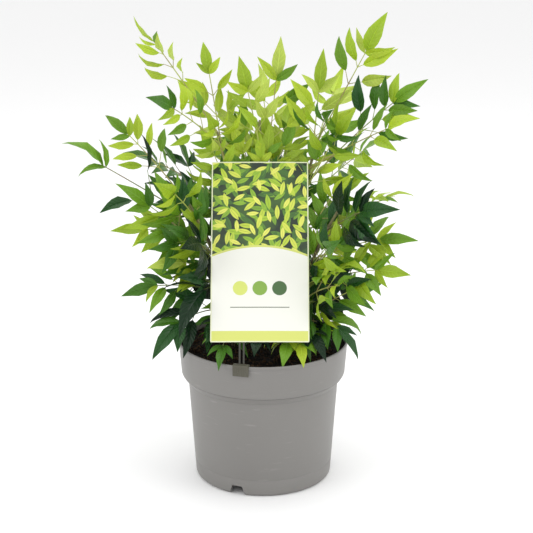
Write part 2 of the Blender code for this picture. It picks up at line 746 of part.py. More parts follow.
class Plan:
    """Where a spray's stem, side twigs and leaflets would lie."""

    def __init__(self, spray, route, chance):
        first = route.first
        if spray.bough:
            first = spray.bough + BOUGH_STEP / route.length
        stations, self.twigs, self.leaflets = grow(spray, route, first, chance)
        stations.insert(1, (stations[0] + stations[1]) / 2)
        points = [route.point(share) for share in stations]
        wide = [STEM_RADIUS + CLEARANCE] * len(points)
        self.stem = tube(points, [STEM_RADIUS] * len(points), TWIG_SIDES)
        self.stem_surface = BVHTree.FromPolygons(*tube(points, wide, TWIG_SIDES))


def build_spray(spray, plan, taken):
    """One foliage mass, with every twig and leaflet clear of what is taken."""
    if not is_clear(*plan.stem, taken):
        raise ValueError("the stem of " + spray.name + " meets another piece")
    pieces = [plan.stem]
    leaflets = list(plan.leaflets)
    for twig in plan.twigs:
        line = [twig.start + (twig.end - twig.start).normalized() * TWIG_SINK, twig.end]
        if is_clear(*tube(line, [TWIG_RADIUS + CLEARANCE] * 2, TWIG_SIDES), taken):
            pieces.append(tube(line, [TWIG_RADIUS, TWIG_TIP_RADIUS], TWIG_SIDES))
            leaflets += twig.leaflets
    for leaflet in leaflets:
        if is_clear(*blade(*leaflet, CLEARANCE), taken):
            pieces.append(blade(*leaflet))
    return finish(joined("spray_" + spray.name, pieces), *LEAF_FINISHES[spray.tone])


def main():
    """Build every piece, limbs before foliage."""
    remove_everything()
    solids = [build_pot(), build_soil(), build_label(), build_clip()]
    solids += [build_cane(cane) for cane in CANES]
    canes = {cane.name: cane for cane in CANES}
    plans = []
    for seed, spray in enumerate(SPRAYS):
        stem = (BOUGH_RADIUS, BOUGH_SIDES) if spray.bough else (STEM_RADIUS, TWIG_SIDES)
        route = Route(spray, canes[spray.cane], *stem)
        plans.append(Plan(spray, route, random.Random(seed)))
        if spray.bough:
            solids.append(build_bough(spray, route))
    bpy.context.view_layer.update()
    taken = [surface_of(solid) for solid in solids]
    for index, (spray, plan) in enumerate(zip(SPRAYS, plans)):
        later_stems = [later.stem_surface for later in plans[index + 1:]]
        mass = build_spray(spray, plan, taken + later_stems)
        bpy.context.view_layer.update()
        taken.append(surface_of(mass))


main()
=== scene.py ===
"""A potted heavenly bamboo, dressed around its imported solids, in metres with +Z up.

The front is -Y.  The canes carry compound leaves whose stems, side twigs and
leaflets grow by one seeded rule, first coarse and then finer within the same reach.
"""

import logging
import math
from dataclasses import dataclass, field, replace
from enum import Enum
from functools import reduce
from itertools import product
from random import Random
from typing import Iterator, NamedTuple, Sequence

import bpy
import numpy as np
from mathutils import Matrix, Vector, noise
from mathutils.bvhtree import BVHTree


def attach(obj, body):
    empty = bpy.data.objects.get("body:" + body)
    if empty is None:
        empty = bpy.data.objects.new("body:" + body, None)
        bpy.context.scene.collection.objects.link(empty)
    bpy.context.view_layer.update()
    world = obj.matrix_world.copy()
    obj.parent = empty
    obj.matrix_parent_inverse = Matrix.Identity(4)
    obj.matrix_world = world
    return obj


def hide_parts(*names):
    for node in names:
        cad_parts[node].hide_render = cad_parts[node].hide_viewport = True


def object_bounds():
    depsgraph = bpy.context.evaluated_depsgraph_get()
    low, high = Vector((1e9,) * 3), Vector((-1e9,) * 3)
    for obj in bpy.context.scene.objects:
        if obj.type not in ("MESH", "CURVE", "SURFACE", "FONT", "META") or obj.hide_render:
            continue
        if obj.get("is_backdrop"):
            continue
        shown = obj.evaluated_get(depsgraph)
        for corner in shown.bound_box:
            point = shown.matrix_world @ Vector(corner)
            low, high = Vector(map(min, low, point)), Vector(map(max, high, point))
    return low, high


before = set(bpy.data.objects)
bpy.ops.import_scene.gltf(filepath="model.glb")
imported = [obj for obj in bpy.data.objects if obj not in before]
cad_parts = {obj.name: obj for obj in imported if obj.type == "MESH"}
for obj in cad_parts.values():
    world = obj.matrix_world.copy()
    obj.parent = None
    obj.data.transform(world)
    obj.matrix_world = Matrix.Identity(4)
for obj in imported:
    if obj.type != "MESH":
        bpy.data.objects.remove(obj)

logging.basicConfig(level=logging.INFO, format="%(message)s")
log = logging.getLogger("heavenly_bamboo")

BODY = "root"
UP = Vector((0.0, 0.0, 1.0))
EYE = Vector((0.0038, -1.5501, 0.7148))
GAP = 0.0003
HARD_NODES = ("pot", "soil", "label_card", "label_clip")
CARD_WIDTH = 0.1080
CARD_LENGTH = 0.2070
CARD_THICK = 0.0008

Colour = tuple[float, float, float]
Shape = tuple[list[Vector], list[tuple[int, ...]]]
Socket = bpy.types.NodeSocket
Piece = bpy.types.Object
Material = bpy.types.Material


def linear(red: int, green: int, blue: int) -> Colour:
    """Turn a display colour into the linear one that a shader takes.

    Args:
        red, green, blue: The display colour, each from 0 to 255.

    Returns:
        The linear colour, each from 0 to 1.
    """
    shares = (value / 255 for value in (red, green, blue))
    return tuple(s / 12.92 if s <= 0.04045 else ((s + 0.055) / 1.055) ** 2.4 for s in shares)


def polar(radius: float, degrees: float, height: float = 0.0) -> Vector:
    """Return a point at a radius and azimuth from the pot's axis."""
    angle = math.radians(degrees)
    return Vector((radius * math.cos(angle), radius * math.sin(angle), height))


def arc(centre: Sequence[float], radius: float, from_deg: float, to_deg: float, steps: int) -> list:
    """Return the points of an arc in the (r, z) plane.

    Args:
        centre: The arc's centre as (r, z).
        radius: Its radius.
        from_deg, to_deg: The angles of its ends.
        steps: How many chords it has.

    Returns:
        The points as (r, z), one more than the steps.
    """
    angles = [math.radians(from_deg + (to_deg - from_deg) * k / steps) for k in range(steps + 1)]
    return [(centre[0] + radius * math.cos(a), centre[1] + radius * math.sin(a)) for a in angles]


class Graph:
    """A material's node graph, with short ways to add and link nodes."""

    def __init__(self, name: str, colour: Colour, roughness: float) -> None:
        """Start a Principled material.

        Args:
            name: The material's name.
            colour: Its base colour.
            roughness: Its roughness.
        """
        self.material = bpy.data.materials.new(name)
        self.material.use_nodes = True
        self.tree = self.material.node_tree
        self.shader = self.tree.nodes["Principled BSDF"]
        self.set("Base Color", (*colour, 1.0))
        self.set("Roughness", roughness)

    def set(self, socket: str, value: object) -> None:
        """Set one of the shader's sockets, or link it where the value is a socket."""
        self.feed(self.shader.inputs[socket], value)

    def feed(self, socket: Socket, value: object) -> None:
        """Fill a socket.

        Args:
            socket: The socket to fill.
            value: A plain value, or a socket to link.
        """
        if isinstance(value, Socket):
            self.tree.links.new(value, socket)
        else:
            socket.default_value = value

    def node(self, kind: str, *values: object, **settings: object) -> bpy.types.Node:
        """Add a node of one kind.

        Args:
            kind: The node's type, less the words that all of them start with.
            values: What its first sockets take, as plain values or sockets.
            settings: Its properties.

        Returns:
            The new node.
        """
        node = self.tree.nodes.new("ShaderNode" + kind)
        for name, value in settings.items():
            setattr(node, name, value)
        for socket, value in zip(node.inputs, values):
            self.feed(socket, value)
        return node

    def math(self, operation: str, *values: object, clamp: bool = False) -> Socket:
        """Return the result of a Math node over the given values or sockets."""
        return self.node("Math", *values, operation=operation, use_clamp=clamp).outputs[0]

    def times(self, first: object, *others: object) -> object:
        """Return the product of values or sockets."""
        return reduce(lambda a, b: self.math("MULTIPLY", a, b), others, first)

    def place(self, scale: Sequence[float] = (1.0, 1.0, 1.0)) -> Socket:
        """Return object coordinates, stretched by a scale along each axis."""
        source = self.node("TexCoord").outputs["Object"]
        return self.node("Mapping", source, (0.0, 0.0, 0.0), (0.0, 0.0, 0.0), scale).outputs[0]

    def uv(self) -> tuple[Socket, Socket]:
        """Return the two coordinates of the piece's own UV map."""
        across, along, _ = self.parts(self.node("TexCoord").outputs["UV"])
        return across, along

    def parts(self, vector: Socket) -> list[Socket]:
        """Return the three parts of a vector or colour."""
        return list(self.node("SeparateXYZ", vector).outputs)

    def joined(self, x: object, y: object, z: object = 0.0) -> Socket:
        """Return a vector made of three values or sockets."""
        return self.node("CombineXYZ", x, y, z).outputs[0]

    def noise(self, vector: Socket, scale: float, detail: float = 3.0) -> Socket:
        """Return soft noise from 0 to 1 over a vector."""
        return self.node("TexNoise", vector, 0.0, scale, detail).outputs[0]

    def chance(self, vector: Socket) -> tuple[Socket, Socket]:
        """Return a random value and a random colour for each whole vector."""
        node = self.node("TexWhiteNoise", vector)
        return node.outputs["Value"], node.outputs["Color"]

    def attribute(self, name: str) -> Socket:
        """Return a number stored on the mesh."""
        return self.node("Attribute", attribute_name=name).outputs["Fac"]

    def fall(self, value: object, full: float, none: float) -> Socket:
        """Return 1 where a value is at full, easing to 0 where it is at none."""
        ends = (full, none, 1.0, 0.0) if full < none else (none, full, 0.0, 1.0)
        return self.node("MapRange", value, *ends, interpolation_type="SMOOTHSTEP").outputs[0]

    def mix(self, share: object, first: object, second: object, blend: str = "MIX") -> Socket:
        """Mix two colours.

        Args:
            share: How far the result goes to the second colour.
            first, second: The colours, as plain ones or sockets.
            blend: The way in which they mix.

        Returns:
            The mixed colour.
        """
        node = self.node("Mix", share, data_type="RGBA", blend_type=blend)
        for socket, value in ((node.inputs[6], first), (node.inputs[7], second)):
            self.feed(socket, (*value, 1.0) if isinstance(value, tuple) else value)
        return node.outputs[2]

    def relief(self, height: Socket, depth: float, strength: float) -> None:
        """Raise the surface in the shading.

        Args:
            height: The height, from 0 to 1.
            depth: The metres that a height of 1 stands for.
            strength: How much of the relief shows.
        """
        bump = self.node("Bump", strength, depth)
        self.feed(bump.inputs["Height"], height)
        self.set("Normal", bump.outputs[0])


@dataclass(frozen=True)
class PotPlastic:
    """Satin grey moulded plastic, a little mottled and scuffed."""

    colour: Colour = linear(119, 117, 114)
    scuff: Colour = linear(146, 144, 141)
    roughness: float = 0.42
    cloud_scale: float = 14.0
    cloud_tint: float = 0.25
    cloud_gloss: float = 0.16
    flow_scale: float = 160.0
    flow_stretch: tuple = (1.0, 1.0, 0.12)
    flow_height: float = 0.6
    grain_scale: float = 2600.0
    grain_height: float = 0.5
    scratch_scale: float = 45.0
    scratch_stretch: tuple = (1.0, 1.0, 9.0)
    scratch_levels: tuple = (0.78, 0.62)
    wear: float = 0.5
    wear_gloss: float = 0.2
    relief_depth: float = 0.00012

    def material(self) -> Material:
        """Build the plastic's nodes.

        Returns:
            The material.
        """
        graph = Graph("pot_plastic", self.colour, self.roughness)
        cloud = graph.noise(graph.place(), self.cloud_scale, detail=4.0)
        flow = graph.noise(graph.place(self.flow_stretch), self.flow_scale, detail=2.0)
        grain = graph.noise(graph.place(), self.grain_scale, detail=2.0)
        scratch = graph.noise(graph.place(self.scratch_stretch), self.scratch_scale, detail=5.0)
        worn = graph.times(graph.fall(scratch, *self.scratch_levels), self.wear)
        tint = graph.mix(graph.times(cloud, self.cloud_tint), self.colour, self.scuff)
        graph.set("Base Color", graph.mix(worn, tint, self.scuff))
        rough = graph.math("MULTIPLY_ADD", cloud, self.cloud_gloss, self.roughness - self.cloud_gloss / 2)
        graph.set("Roughness", graph.math("MULTIPLY_ADD", worn, self.wear_gloss, rough))
        height = graph.math("MULTIPLY_ADD", flow, self.flow_height, graph.times(grain, self.grain_height))
        graph.relief(height, self.relief_depth, strength=0.5)
        return graph.material


@dataclass(frozen=True)
class PottingMix:
    """Moist, dark, fibrous potting mix."""

    dark: Colour = linear(8, 8, 7)
    light: Colour = linear(38, 31, 25)
    roughness: float = 0.92
    sheen: float = 0.12
    crumb_scale: float = 420.0
    patch_scale: float = 60.0
    relief_depth: float = 0.0009

    def material(self, name: str, brown: float) -> Material:
        """Return the mix's material.

        Args:
            name: The material's name.
            brown: How far its light specks go towards the light brown.

        Returns:
            The material.
        """
        graph = Graph(name, self.dark, self.roughness)
        crumb = graph.noise(graph.place(), self.crumb_scale, detail=6.0)
        patch = graph.noise(graph.place(), self.patch_scale, detail=3.0)
        graph.set("Base Color", graph.mix(graph.times(crumb, patch, brown), self.dark, self.light))
        graph.relief(crumb, self.relief_depth, strength=0.9)
        graph.set("Specular IOR Level", self.sheen)
        return graph.material


@dataclass(frozen=True)
class Bark:
    """Thin bark with fine furrows, greener towards the young top."""

    old: Colour = linear(98, 84, 62)
    furrow: Colour = linear(62, 50, 38)
    young: Colour = linear(128, 132, 78)
    roughness: float = 0.62
    from_height: float = 0.20
    to_height: float = 0.40
    fibre_scale: float = 900.0
    fibre_stretch: tuple = (1.0, 1.0, 0.05)
    fibre_levels: tuple = (0.35, 0.6)
    blotch_scale: float = 120.0
    blotch_levels: tuple = (0.3, 0.9)
    relief_depth: float = 0.0002

    def material(self) -> Material:
        """Build the bark's nodes.

        Returns:
            The material.
        """
        graph = Graph("cane_bark", self.old, self.roughness)
        fibre = graph.noise(graph.place(self.fibre_stretch), self.fibre_scale, detail=4.0)
        blotch = graph.noise(graph.place(), self.blotch_scale, detail=3.0)
        brown = graph.mix(graph.fall(fibre, *self.fibre_levels), self.old, self.furrow)
        height = graph.parts(graph.place())[2]
        climb = graph.math("SUBTRACT", height, self.from_height)
        share = graph.math("DIVIDE", climb, self.to_height - self.from_height, clamp=True)
        share = graph.times(share, graph.fall(blotch, *self.blotch_levels))
        graph.set("Base Color", graph.mix(share, brown, self.young))
        graph.relief(fibre, self.relief_depth, strength=0.8)
        return graph.material


@dataclass(frozen=True)
class Stalk:
    """Smooth young stalk."""

    name: str
    colour: Colour
    flush: Colour
    roughness: float = 0.45
    patch_scale: float = 35.0
    patch_levels: tuple = (0.66, 0.45)
    fibre_scale: float = 1500.0
    fibre_stretch: tuple = (1.0, 1.0, 0.2)
    relief_depth: float = 0.00006

    def material(self) -> Material:
        """Build the stalk's nodes.

        Returns:
            The material.
        """
        graph = Graph(self.name, self.colour, self.roughness)
        patch = graph.noise(graph.place(), self.patch_scale, detail=2.0)
        graph.set("Base Color", graph.mix(graph.fall(patch, *self.patch_levels), self.colour, self.flush))
        fibre = graph.noise(graph.place(self.fibre_stretch), self.fibre_scale)
        graph.relief(fibre, self.relief_depth, strength=0.5)
        return graph.material


@dataclass(frozen=True)
class LeafFinish:
    """One shade of leaf: its plain colour, gloss and how strongly its veins show."""

    name: str
    slot: str
    colour: Colour
    roughness: float
    sheen: float
    vein: float
    glow: float
    rib_width: float = 0.12
    rib_taper: float = 0.06
    vein_count: float = 9.0
    vein_slant: float = 1.5
    vein_width: float = 0.14
    vein_share: float = 0.35
    vein_tint: float = 0.75
    vein_depth: float = 0.0005
    paler: float = 1.5
    pale_lift: float = 0.03
    patch_scale: float = 70.0
    patch_range: float = 0.3
    pillow: float = 0.8
    glow_radii: tuple = (0.6, 1.0, 0.15)
    glow_depth: float = 0.0006

    def material(self) -> Material:
        """Build the leaf's nodes, whose veins follow each leaflet's own UV map.

        Returns:
            The material.
        """
        graph = Graph(self.name, self.colour, self.roughness)
        across, along = graph.uv()
        off_rib = graph.math("ABSOLUTE", graph.math("MULTIPLY_ADD", across, 2.0, -1.0))
        rib_width = graph.math("MULTIPLY_ADD", along, -self.rib_taper, self.rib_width)
        rib = graph.math("SUBTRACT", 1.0, graph.math("DIVIDE", off_rib, rib_width, clamp=True))
        steps = graph.times(along, self.vein_count)
        saw = graph.math("PINGPONG", graph.math("MULTIPLY_ADD", off_rib, -self.vein_slant, steps), 0.5)
        side = graph.times(graph.fall(saw, 0.0, self.vein_width), self.vein_share)
        veins = graph.math("MAXIMUM", rib, side)
        pale = tuple(min(1.0, c * self.paler + self.pale_lift) for c in self.colour)
        patch = graph.noise(graph.place(), self.patch_scale, detail=3.0)
        tint = graph.math("MULTIPLY_ADD", patch, self.patch_range, 1.0 - self.patch_range / 2)
        tint = graph.times(tint, graph.attribute("leaf_tint"))
        plain = graph.mix(1.0, self.colour, graph.joined(tint, tint, tint), "MULTIPLY")
        graph.set("Base Color", graph.mix(graph.times(veins, self.vein_tint), plain, pale))
        height = graph.math("MULTIPLY_ADD", veins, -1.0, graph.times(saw, self.pillow))
        graph.relief(height, self.vein_depth, self.vein)
        graph.set("Subsurface Weight", self.glow)
        graph.set("Subsurface Radius", self.glow_radii)
        graph.set("Subsurface Scale", self.glow_depth)
        graph.set("Specular IOR Level", self.sheen)
        return graph.material


class Shade(Enum):
    """The shades of leaf that the plant carries, from youngest to oldest."""

    PALE = LeafFinish("leaf_pale_lime", "leaf_lime", linear(170, 189, 73), 0.46, 0.40, 0.5, 0.10)
    LIME = LeafFinish("leaf_bright_lime", "leaf_lime", linear(161, 184, 38), 0.44, 0.40, 0.5, 0.10)
    DEEP_LIME = LeafFinish("leaf_deep_lime", "leaf_lime", linear(142, 170, 30), 0.42, 0.38, 0.55, 0.08)
    FRESH = LeafFinish("leaf_fresh_green", "leaf_fresh", linear(98, 140, 22), 0.40, 0.35, 0.6, 0.06)
    MIDDLE = LeafFinish("leaf_middle_green", "leaf_fresh", linear(62, 108, 22), 0.36, 0.32, 0.7, 0.04)
    DARK = LeafFinish("leaf_dark_green", "leaf_dark", linear(32, 74, 28), 0.32, 0.28, 0.8, 0.03)
    DEEP = LeafFinish("leaf_deep_green", "leaf_dark", linear(13, 40, 18), 0.28, 0.24, 0.9, 0.02)


class Tone(Enum):
    """The mix of shades that a spray draws its leaflets from, as (shade, weight)."""

    LIME = ((Shade.PALE, 0.22), (Shade.LIME, 0.48), (Shade.DEEP_LIME, 0.24), (Shade.FRESH, 0.06))
    FRESH = ((Shade.DEEP_LIME, 0.22), (Shade.FRESH, 0.46), (Shade.MIDDLE, 0.32))
    DARK = ((Shade.FRESH, 0.06), (Shade.MIDDLE, 0.22), (Shade.DARK, 0.44), (Shade.DEEP, 0.28))

    def shade(self, draw: float, darker: int) -> Shade:
        """Choose a shade.

        Args:
            draw: A draw from 0 to 1.
            darker: How many shades darker it comes out.

        Returns:
            The shade, within those that there are.
        """
        shades = list(Shade)
        total = 0.0
        chosen = self.value[-1][0]
        for shade, weight in self.value:
            total += weight
            if draw < total:
                chosen = shade
                break
        step = shades.index(chosen) + darker
        return shades[max(0, min(step, len(shades) - 1))]


@dataclass(frozen=True)
class PrintedCard:
    """A glossy printed card: a panel of scattered leaf motifs over white, and a band."""

    paper: Colour = linear(230, 230, 222)
    band: Colour = linear(204, 210, 108)
    edge: Colour = linear(222, 226, 190)
    ink: Colour = linear(92, 104, 84)
    ground: Colour = linear(26, 44, 26)
    thicket: Colour = linear(60, 92, 36)
    motifs: tuple = (
        (4.3, 20.0, linear(52, 86, 36)),
        (4.9, 63.0, linear(84, 128, 40)),
        (5.3, -37.0, linear(116, 158, 44)),
        (4.5, 8.0, linear(62, 104, 38)),
        (4.7, -18.0, linear(158, 190, 46)),
        (5.1, 41.0, linear(184, 204, 62)),
        (5.7, -52.0, linear(134, 174, 44)),
        (5.2, 29.0, linear(206, 216, 80)),
        (6.1, -8.0, linear(222, 224, 100)),
    )
    motif_length: float = 0.42
    motif_width: float = 0.135
    motif_stray: float = 0.18
    motif_gaps: float = 0.12
    motif_edge: float = 0.012
    rib_levels: tuple = (0.022, 0.008)
    rib_shade: float = 0.35
    patch_scale: float = 3.1
    patch_levels: tuple = (0.62, 0.42)
    discs: tuple = (
        ((0.30, 0.56, 0.075), linear(204, 214, 108)),
        ((0.50, 0.56, 0.075), linear(126, 164, 62)),
        ((0.70, 0.56, 0.075), linear(62, 98, 50)),
    )
    rule: tuple = (0.5, 0.36, 0.30, 0.0045)
    panel_foot: float = 0.53
    panel_arch: float = 0.42
    stripe: float = 0.022
    band_top: float = 0.060
    border: float = 0.012
    roughness: float = 0.28
    coat: float = 0.25
    coat_roughness: float = 0.12
    ripple_scale: float = 90.0
    ripple_depth: float = 0.0003

    def motif_layer(self, graph: Graph, x: object, y: object, cells: float, lattice_deg: float) -> object:
        """Return the mask of one layer of blades, strewn over a lattice of its own slant.

        Args:
            graph: The print's graph.
            x, y: The card's own coordinates, in card widths.
            cells: How many cells of the lattice fit in the card's width.
            lattice_deg: How far the lattice is turned.

        Returns:
            The mask, which fades along each blade's rib.
        """
        slant = math.radians(lattice_deg)
        run, rise = cells * math.cos(slant), cells * math.sin(slant)
        across = graph.math("ADD", graph.times(x, run), graph.times(y, rise))
        up = graph.math("SUBTRACT", graph.times(y, run), graph.times(x, rise))
        cell = graph.joined(graph.math("FLOOR", across), graph.math("FLOOR", up), lattice_deg)
        value, colour = graph.chance(cell)
        turn = graph.times(value, math.tau)
        draws = graph.parts(colour)
        offsets = []
        for line, draw in zip((across, up), draws):
            middle = graph.math("MULTIPLY_ADD", draw, self.motif_stray, 0.5 - self.motif_stray / 2)
            offsets.append(graph.math("SUBTRACT", graph.math("FRACT", line), middle))
        cosine, sine = graph.math("COSINE", turn), graph.math("SINE", turn)
        first, second = (graph.times(offset, cosine) for offset in offsets)
        third, fourth = (graph.times(offset, sine) for offset in offsets)
        along, beside = graph.math("ADD", first, fourth), graph.math("SUBTRACT", second, third)
        reach = graph.math("DIVIDE", along, self.motif_length)
        room = graph.math("SUBTRACT", 1.0, graph.times(reach, reach))
        off_rib = graph.math("ABSOLUTE", beside)
        inside = graph.math("SUBTRACT", graph.times(room, self.motif_width), off_rib)
        blade = graph.fall(inside, self.motif_edge, 0.0)
        rib = graph.fall(off_rib, *self.rib_levels)
        rib = graph.math("MULTIPLY_ADD", rib, self.rib_shade, 1.0 - self.rib_shade)
        shown = graph.math("GREATER_THAN", draws[2], self.motif_gaps)
        return graph.times(blade, rib, shown)

    def box_mask(self, graph: Graph, x: object, y: object, box: Sequence[float]) -> object:
        """Mask a box.

        Args:
            graph: The print's graph.
            x, y: The card's coordinates, in card widths.
            box: The box's middle and its half sizes.

        Returns:
            1 inside the box and 0 outside it.
        """
        off_x = graph.math("ABSOLUTE", graph.math("SUBTRACT", x, box[0]))
        off_y = graph.math("ABSOLUTE", graph.math("SUBTRACT", y, box[1]))
        in_x = graph.math("LESS_THAN", off_x, box[2])
        return graph.times(in_x, graph.math("LESS_THAN", off_y, box[3]))

    def disc_mask(self, graph: Graph, x: object, y: object, disc: Sequence[float]) -> object:
        """Mask a disc.

        Args:
            graph: The print's graph.
            x, y: The card's coordinates, in card widths.
            disc: The disc's middle and its radius.

        Returns:
            1 inside the disc and 0 outside it.
        """
        dx = graph.math("SUBTRACT", x, disc[0])
        dy = graph.math("SUBTRACT", y, disc[1])
        far = graph.math("SQRT", graph.math("ADD", graph.times(dx, dx), graph.times(dy, dy)))
        return graph.math("LESS_THAN", far, disc[2])

    def material(self) -> Material:
        """Build the print's nodes, over a UV map that counts in card widths.

        Returns:
            The material.
        """
        graph = Graph("card_print", self.paper, self.roughness)
        x, y = graph.uv()
        patch = graph.fall(graph.noise(graph.joined(x, y), self.patch_scale), *self.patch_levels)
        colour = graph.mix(patch, self.ground, self.thicket)
        for cells, lattice_deg, ink in self.motifs:
            colour = graph.mix(self.motif_layer(graph, x, y, cells, lattice_deg), colour, ink)
        height = CARD_LENGTH / CARD_WIDTH
        off_middle = graph.math("SUBTRACT", x, 0.5)
        arch = graph.times(off_middle, off_middle, -self.panel_arch)
        panel_edge = graph.math("ADD", arch, self.panel_foot * height)
        in_panel = graph.math("GREATER_THAN", y, panel_edge)
        in_stripe = graph.math("GREATER_THAN", y, graph.math("SUBTRACT", panel_edge, self.stripe))
        colour = graph.mix(in_panel, graph.mix(in_stripe, self.paper, self.band), colour)
        for disc, ink in self.discs:
            colour = graph.mix(self.disc_mask(graph, x, y, disc), colour, ink)
        colour = graph.mix(self.box_mask(graph, x, y, self.rule), colour, self.ink)
        in_band = graph.math("LESS_THAN", y, self.band_top * height)
        colour = graph.mix(in_band, colour, self.band)
        inner = (0.5, height / 2, 0.5 - self.border, height / 2 - self.border)
        inside = self.box_mask(graph, x, y, inner)
        graph.set("Base Color", graph.mix(inside, self.edge, colour))
        graph.set("Coat Weight", self.coat)
        graph.set("Coat Roughness", self.coat_roughness)
        ripple = graph.noise(graph.place(), self.ripple_scale, detail=2.0)
        graph.relief(ripple, self.ripple_depth, strength=0.12)
        return graph.material


@dataclass(frozen=True)
class ClipPlastic:
    """Grey-brown translucent plastic of the clip and its strips."""

    name: str
    colour: Colour
    roughness: float = 0.38
    cloud_scale: float = 130.0
    lighter: float = 1.35
    grain_scale: float = 1800.0
    grain_depth: float = 0.00008

    def material(self) -> Material:
        """Build the clip's nodes.

        Returns:
            The material.
        """
        graph = Graph(self.name, self.colour, self.roughness)
        cloud = graph.noise(graph.place(), self.cloud_scale)
        lighter = tuple(c * self.lighter for c in self.colour)
        graph.set("Base Color", graph.mix(cloud, self.colour, lighter))
        grain = graph.noise(graph.place(), self.grain_scale)
        graph.relief(grain, self.grain_depth, strength=0.4)
        return graph.material


@dataclass(frozen=True)
class PaleFloor:
    """Plain, matt, nearly white floor."""

    colour: Colour = (0.96, 0.96, 0.96)
    roughness: float = 0.9
    sheen: float = 0.1

    def material(self) -> Material:
        """Build the floor's nodes.

        Returns:
            The material.
        """
        graph = Graph("pale_floor", self.colour, self.roughness)
        graph.set("Specular IOR Level", self.sheen)
        return graph.material


class Bench:
    """The work bench, where one mesh at a time is drawn, shaped and finished."""

    @staticmethod
    def clear() -> None:
        """Deselect everything, so that an operator acts on the new piece alone."""
        bpy.ops.object.select_all(action="DESELECT")

    @staticmethod
    def pick(*objects: Piece) -> None:
        """Select some objects alone.

        Args:
            objects: The objects, of which the first becomes the active one.
        """
        Bench.clear()
        for obj in objects:
            obj.select_set(True)
        bpy.context.view_layer.objects.active = objects[0]

    @staticmethod
    def edit(obj: Piece) -> None:
        """Open one object in edit mode with all of it selected.

        Args:
            obj: The object.
        """
        Bench.pick(obj)
        bpy.ops.object.mode_set(mode="EDIT")
        bpy.ops.mesh.select_all(action="SELECT")

    @staticmethod
    def close() -> None:
        """Leave edit mode."""
        bpy.ops.object.mode_set(mode="OBJECT")

    @staticmethod
    def lathe(name: str, profile: Sequence[Sequence[float]], steps: int) -> Piece:
        """Draw a profile by extruding a point, then spin it round the upright axis.

        Args:
            name: The new object's name.
            profile: Points (r, z), whose two ends lie on the axis.
            steps: The steps of the full turn.

        Returns:
            The closed, turned object.
        """
        Bench.clear()
        bpy.ops.mesh.primitive_plane_add(size=0.001)
        obj = bpy.context.object
        obj.name = name
        Bench.edit(obj)
        bpy.ops.mesh.merge(type="CENTER")
        bpy.ops.transform.translate(value=(profile[0][0], 0.0, profile[0][1]))
        for (r, z), (next_r, next_z) in zip(profile, profile[1:]):
            step = (next_r - r, 0.0, next_z - z)
            bpy.ops.mesh.extrude_region_move(TRANSFORM_OT_translate={"value": step})
        bpy.ops.mesh.select_all(action="SELECT")
        bpy.ops.mesh.spin(steps=steps, angle=math.tau, center=(0.0, 0.0, 0.0), axis=(0.0, 0.0, 1.0))
        bpy.ops.mesh.select_all(action="SELECT")
        bpy.ops.mesh.remove_doubles(threshold=1e-6)
        bpy.ops.mesh.normals_make_consistent(inside=False)
        Bench.close()
        return obj

    @staticmethod
    def block(size: Sequence[float], corner: Sequence[float] = (0.0, 0.0, 0.0)) -> Piece:
        """Add a cube primitive and shape it in edit mode into a block.

        Args:
            size: The block's sizes.
            corner: Its lowest corner.

        Returns:
            The block.
        """
        Bench.clear()
        bpy.ops.mesh.primitive_cube_add(size=1.0)
        obj = bpy.context.object
        Bench.edit(obj)
        bpy.ops.transform.resize(value=tuple(size), center_override=(0.0, 0.0, 0.0))
        middle = tuple(c + s / 2 for c, s in zip(corner, size))
        bpy.ops.transform.translate(value=middle)
        Bench.close()
        return obj

    @staticmethod
    def join(name: str, objects: Sequence[Piece]) -> Piece:
        """Join objects into one and name it.

        Args:
            name: The new name.
            objects: The objects.

        Returns:
            The joined object.
        """
        Bench.pick(*objects)
        bpy.ops.object.join()
        objects[0].name = name
        return objects[0]

    @staticmethod
    def settle(obj: Piece) -> None:
        """Apply an object's place, turn and scale to its mesh."""
        Bench.pick(obj)
        bpy.ops.object.transform_apply(location=True, rotation=True, scale=True)

    @staticmethod
    def apply(obj: Piece, kind: str, **settings: object) -> None:
        """Add a modifier and apply it.

        Args:
            obj: The object.
            kind: The modifier's type.
            settings: Its settings.
        """
        modifier = obj.modifiers.new(kind.lower(), kind)
        for name, value in settings.items():
            setattr(modifier, name, value)
        Bench.pick(obj)
        bpy.ops.object.modifier_apply(modifier=modifier.name)

    @staticmethod
    def smooth(obj: Piece, sharp_deg: float) -> None:
        """Shade an object smooth, except over edges sharper than an angle."""
        Bench.pick(obj)
        bpy.ops.object.shade_smooth_by_angle(angle=math.radians(sharp_deg))

    @staticmethod
    def dress(obj: Piece, *materials: Material) -> None:
        """Give an object its materials.

        Args:
            obj: The object.
            materials: Its materials, in the order of its slots.
        """
        obj.data.materials.clear()
        for material in materials:
            obj.data.materials.append(material)


def hand_over(obj: Piece, nodes: Sequence[str]) -> None:
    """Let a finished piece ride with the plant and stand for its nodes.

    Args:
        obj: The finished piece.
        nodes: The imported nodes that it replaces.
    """
    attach(obj, BODY)
    if nodes:
        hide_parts(*nodes)
    triangles = sum(len(face.vertices) - 2 for face in obj.data.polygons)
    log.info("%-24s %7d triangles", obj.name, triangles)


